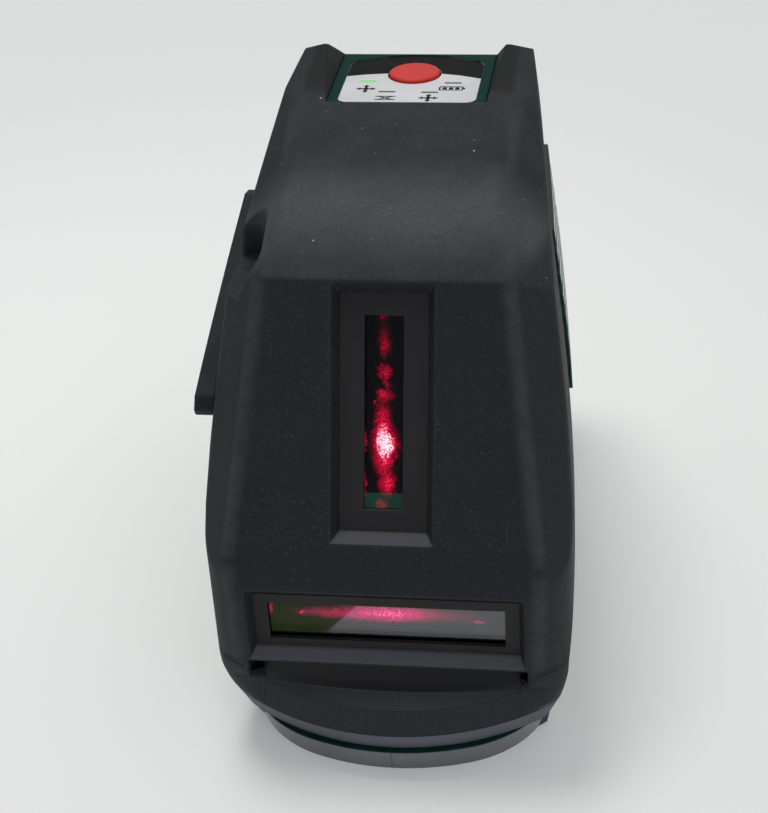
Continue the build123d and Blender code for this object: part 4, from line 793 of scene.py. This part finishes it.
def round_box(half_u, half_v, radius, steps=5):
    """Outline of a box with rounded corners."""
    points = []
    for turn, (side_u, side_v) in enumerate(((1, 1), (-1, 1), (-1, -1), (1, -1))):
        for step in range(steps + 1):
            angle = radians(90 * turn + 90 * step / steps)
            u = side_u * (half_u - radius) + radius * cos(angle)
            v = side_v * (half_v - radius) + radius * sin(angle)
            points.append((u, v))
    return points


def plus(u, v, arm, half):
    """Outline of a cross."""
    corners = ((half, arm), (half, half), (arm, half), (arm, -half), (half, -half), (half, -arm))
    corners += tuple((-a, -b) for a, b in corners)
    return [(u + a, v + b) for a, b in corners]


def bar(a, b, half):
    """Outline of a straight stroke between two points."""
    a, b = Vector(a), Vector(b)
    along = (b - a).normalized()
    side = Vector((-along.y, along.x)) * half
    return [tuple(a + side), tuple(a - side), tuple(b - side), tuple(b + side)]


TALL_PANE = (0.0, -40.221, 69.045)
WIDE_PANE = (0.0, -52.9, 32.2)
TALL_FILM = (3.65, 17.5, 0.4)
WIDE_FILM = (21.85, 4.35, 0.4)
FILM_LOW, FILM_HIGH = -0.40, -0.30


def glow_films():
    """Thin films behind both panes that show the light of the beams."""
    bm = bmesh.new()
    raised(bm, plane(TALL_PANE, RIGHT, FACE_UP, FACE_OUT), round_box(*TALL_FILM), FILM_LOW, FILM_HIGH)
    piece("vertical_film", bm, vertical_glow(), "housing")
    bm = bmesh.new()
    raised(bm, plane(WIDE_PANE, RIGHT, UP, FRONT), round_box(*WIDE_FILM), FILM_LOW, FILM_HIGH)
    piece("horizontal_film", bm, horizontal_glow(), "housing")


KEYPAD_MIDDLE = (0.0, 18.5, 105.7)
INK_LOW, INK_HIGH = -0.20, -0.17
TICK_LIFT, DIAMOND_LIFT = 0.004, 0.006
FIELD_LEFT = [(-12.95, 1.4), (-9.0, 2.4), (-5.2, 2.9)]
FIELD_RIGHT = [(5.2, 2.95), (9.0, 2.0), (12.95, 0.4), (12.95, 7.5), (12.7, 8.4)]
FIELD_END = [(-12.7, 8.4), (-12.95, 7.5)]
BUTTON_V, BUTTON_R = 2.6, 5.18
BROW_HALF, BROW_V, BROW_FALL = 12.0, 12.55, 3.38
CROSSES = ((-8.4, -5.2), (3.9, -9.7))
CROSS_ARM, CROSS_HALF = 1.8, 0.24
DIAMOND = 0.75
TICK_OUT, TICK_REACH, TICK_HALF = 1.2, 0.55, 0.13
BOWED_SIGN = (-4.15, -9.8)
BOWED_STROKES = (
    ((-1.9, 0.8), (1.9, 0.8), 0.15), ((-1.9, -0.8), (1.9, -0.8), 0.15),
    ((-1.3, 0.75), (1.3, -0.75), 0.15), ((-1.3, -0.75), (1.3, 0.75), 0.15),
)
BATTERY_SIGN = (7.9, -4.8)
BATTERY_STROKES = (
    ((-2.3, 0.85), (2.0, 0.85), 0.14), ((-2.3, -0.85), (2.0, -0.85), 0.14),
    ((-2.3, -0.85), (-2.3, 0.85), 0.14), ((2.0, -0.85), (2.0, 0.85), 0.14),
    ((2.1, 0.0), (2.5, 0.0), 0.35), ((-1.75, 0.0), (-0.95, 0.0), 0.5),
    ((-0.55, 0.0), (0.25, 0.0), 0.5), ((0.65, 0.0), (1.45, 0.0), 0.5),
)


def field_outline():
    """Outline of the black field: round the button below, bowed above."""
    outline = list(FIELD_LEFT)
    for turn in range(176, 0, -8):
        outline.append((BUTTON_R * cos(radians(turn)), BUTTON_V + BUTTON_R * sin(radians(turn))))
    outline += FIELD_RIGHT
    for step in range(17):
        share = step / 8 - 1
        outline.append((-BROW_HALF * share, BROW_V - BROW_FALL * share**2))
    return outline + FIELD_END


def label_inks():
    """Black field round the button and plain signs printed on the label."""
    keypad = plane(KEYPAD_MIDDLE, RIGHT, KEYPAD_BACK, KEYPAD_OUT)
    ink = label_ink()
    bm = bmesh.new()
    raised(bm, keypad, field_outline(), INK_LOW, INK_HIGH)
    piece("label_field", bm, ink, "housing")
    bm = bmesh.new()
    for u, v in CROSSES:
        raised(bm, keypad, plus(u, v, CROSS_ARM, CROSS_HALF), INK_LOW, INK_HIGH)
        corners = [(u + DIAMOND, v), (u, v + DIAMOND), (u - DIAMOND, v), (u, v - DIAMOND)]
        raised(bm, keypad, corners, INK_LOW, INK_HIGH + DIAMOND_LIFT)
        for turn in range(4):
            c, s = cos(radians(90 * turn)), sin(radians(90 * turn))
            one = (u + TICK_OUT * c - TICK_REACH * s, v + TICK_OUT * s + TICK_REACH * c)
            other = (u + TICK_OUT * c + TICK_REACH * s, v + TICK_OUT * s - TICK_REACH * c)
            raised(bm, keypad, bar(one, other, TICK_HALF), INK_LOW, INK_HIGH + TICK_LIFT)
    for (u, v), strokes in ((BOWED_SIGN, BOWED_STROKES), (BATTERY_SIGN, BATTERY_STROKES)):
        for a, b, half in strokes:
            stroke = bar((u + a[0], v + a[1]), (u + b[0], v + b[1]), half)
            raised(bm, keypad, stroke, INK_LOW, INK_HIGH)
    piece("label_signs", bm, ink, "housing")


CORNER_X, CORNER_Y = 16.0, -36.0
CORNER_STEPS = 24
CORNER_START, CORNER_SWEEP = -4, 69
CORNER_FADE_END, CORNER_FADE = 63, 18
BODY_Z, LIP_Z = 21.2, 10.45
CORNER_SECTION = (
    (22.6, 1.0), (21.0, 1.0), (18.4, 0.93), (16.4, 0.76), (14.6, 0.58), (12.4, 0.3), (10.5, 0.0),
)
CORNER_PROUD, CORNER_SUNK = 0.05, 1.0
RAY_START = 80


def corner_section(cover, middle, way, full):
    """Closed outline of a corner on one upright plane, as heights and distances from the middle."""

    def reach(height):
        start = middle + way * RAY_START + UP * height
        return (cover.ray_cast(start * MM, -way)[0] / MM - middle).dot(way)

    body, lip = reach(BODY_Z), reach(LIP_Z)
    outer, inner = [], []
    for height, share in CORNER_SECTION:
        own = reach(height)
        filled = max(own, lip + share * (body - lip))
        outer.append((height, own + full * (filled - own) + CORNER_PROUD))
        inner.append((height, own - CORNER_SUNK))
    return outer + inner[::-1]


def nose_corners():
    """Soft corners that carry the sides of the cover down to the edge of the lip."""
    cover = surface_of("front_cover")
    bm = bmesh.new()
    for side in (-1, 1):
        middle = Vector((side * CORNER_X, CORNER_Y, 0.0))
        loops = []
        for step in range(CORNER_STEPS + 1):
            turn = radians(CORNER_START + CORNER_SWEEP * step / CORNER_STEPS)
            way = Vector((side * cos(turn), -sin(turn), 0.0))
            full = min(max((CORNER_FADE_END - degrees(turn)) / CORNER_FADE, 0.0), 1.0)
            full = full * full * (3 - 2 * full)
            section = corner_section(cover, middle, way, full)
            points = [bm.verts.new((middle + way * out + UP * height) * MM) for height, out in section]
            loops.append([bm.edges.new((a, b)) for a, b in zip(points, points[1:] + points[:1])])
        for loop, following in zip(loops, loops[1:]):
            bmesh.ops.bridge_loops(bm, edges=loop + following)
        for loop in (loops[0], loops[-1]):
            bmesh.ops.contextual_create(bm, geom=loop)
    soft = piece("nose_corners", bm, FINISHES["soft_grip"], "housing")
    soft.data.polygons.foreach_set("use_smooth", [True] * len(soft.data.polygons))
    soft.data.set_sharp_from_angle(angle=radians(45))


SCREWS = ((42.0, 72.0), (12.0, 90.0), (15.5, 8.0))
RECESS_ARM, RECESS_HALF = 1.35, 0.3
RECESS_LOW, RECESS_HIGH = -0.04, 0.02


def screw_crosses():
    """Dark cross recesses in the heads of the housing screws."""
    heads = surface_of("housing_screws")
    bm = bmesh.new()
    for along, height in SCREWS:
        face = heads.ray_cast(Vector((-RAY_START, along, height)) * MM, RIGHT)[0] / MM
        head = plane(face, REAR, UP, LEFT)
        raised(bm, head, plus(0.0, 0.0, RECESS_ARM, RECESS_HALF), RECESS_LOW, RECESS_HIGH)
    piece("screw_crosses", bm, FINISHES["black_plastic"], "housing")


glow_films()
label_inks()
nose_corners()
screw_crosses()


# Stage

FLOOR_HALF = 4.0
LIGHT_POOL_MIDDLE = (-0.06, 0.03, 0.0)
PICTURE_HEIGHT = 813
FOCAL_PIXELS = 2067.3
SENSOR = 36.0
AIM = (0.0, -0.04137, 0.07088)
DISTANCE = 0.36522
TURN, LIFT, ROLL = 0.16197, 0.60089, 0.06564


def pale_floor():
    """Plain pale floor that goes far out on all sides, with a painted pool of light round the level for camera and
    reflected rays.
    """
    bm = bmesh.new()
    bmesh.ops.create_grid(bm, x_segments=2, y_segments=2, size=FLOOR_HALF)
    mesh = bpy.data.meshes.new("floor")
    bm.to_mesh(mesh)
    bm.free()
    floor = bpy.data.objects.new("floor", mesh)
    bpy.context.scene.collection.objects.link(floor)
    material, tree, shader = finish("pale_floor", Roughness=0.9, Specular_IOR_Level=0.1)
    tone = noise(tree, place(tree), 2.0)
    pale = blend_colour(tree, tone, rgb(0.815, 0.815, 0.795), rgb(0.835, 0.835, 0.815))
    feed(tree, pale, shader.inputs["Base Color"])
    path = put(tree, "ShaderNodeLightPath").outputs
    seen = largest(tree, path["Is Camera Ray"], path["Is Glossy Ray"], path["Is Transmission Ray"])
    shader.inputs["Emission Color"].default_value = rgb(0.98, 1.0, 0.97)
    far = put(tree, "ShaderNodeVectorMath", operation="DISTANCE")
    feed(tree, place(tree), far.inputs[0])
    far.inputs[1].default_value = LIGHT_POOL_MIDDLE
    # Painted pool of light: the floor's glow is stronger near the level than far out.
    near = spread(tree, far.outputs["Value"], 0.04, 0.24, 0.19, 0.09)
    feed(tree, times(tree, seen, near), shader.inputs["Emission Strength"])
    mesh.materials.append(material)


def lamp(name, spot, aim, size, power):
    """Large soft lamp that looks at a point."""
    light = bpy.data.lights.new(name, "AREA")
    light.shape = "DISK"
    light.size = size
    light.energy = power
    holder = bpy.data.objects.new(name, light)
    turn = (Vector(spot) - Vector(aim)).to_track_quat("Z", "Y")
    holder.matrix_world = Matrix.Translation(spot) @ turn.to_matrix().to_4x4()
    bpy.context.scene.collection.objects.link(holder)


def soft_light():
    """Lamp above, and a surround that is pale behind the level and dimmer on the viewer's side."""
    lamp("top_lamp", (-0.16, 0.14, 1.00), (0.0, -0.01, 0.05), 0.36, 3.6)
    lamp("front_fill", (0.35, -0.75, 0.85), (0.0, -0.02, 0.05), 0.60, 1.0)
    world = bpy.data.worlds.new("surround")
    bpy.context.scene.world = world
    world.use_nodes = True
    tree = world.node_tree
    way = parts_of(tree, put(tree, "ShaderNodeTexCoord").outputs["Generated"])
    behind = spread(tree, way[1], -0.7, 0.3)
    sky = tree.nodes["Background"]
    feed(tree, blend_colour(tree, behind, rgb(0.29, 0.31, 0.36), rgb(0.62, 0.63, 0.63)), sky.inputs["Color"])
    feed(tree, spread(tree, way[0], -0.9, 0.3, 0.45, 1.0), sky.inputs["Strength"])


def photo_camera():
    """Camera where the photograph was taken from."""
    back = Vector((sin(TURN) * cos(LIFT), -cos(TURN) * cos(LIFT), sin(LIFT)))
    level = Vector((cos(TURN), sin(TURN), 0.0))
    above = back.cross(level)
    right = level * cos(ROLL) - above * sin(ROLL)
    up = level * sin(ROLL) + above * cos(ROLL)
    data = bpy.data.cameras.new("photo_camera")
    data.sensor_width = SENSOR
    data.lens = SENSOR * FOCAL_PIXELS / PICTURE_HEIGHT
    data.clip_start = 0.01
    data.clip_end = 20.0
    camera = bpy.data.objects.new("photo_camera", data)
    axes = Matrix((right, up, back)).transposed().to_4x4()
    camera.matrix_world = Matrix.Translation(Vector(AIM) + back * DISTANCE) @ axes
    bpy.context.scene.collection.objects.link(camera)
    bpy.context.scene.camera = camera


pale_floor()
soft_light()
photo_camera()
bpy.context.scene.view_settings.view_transform = "Standard"
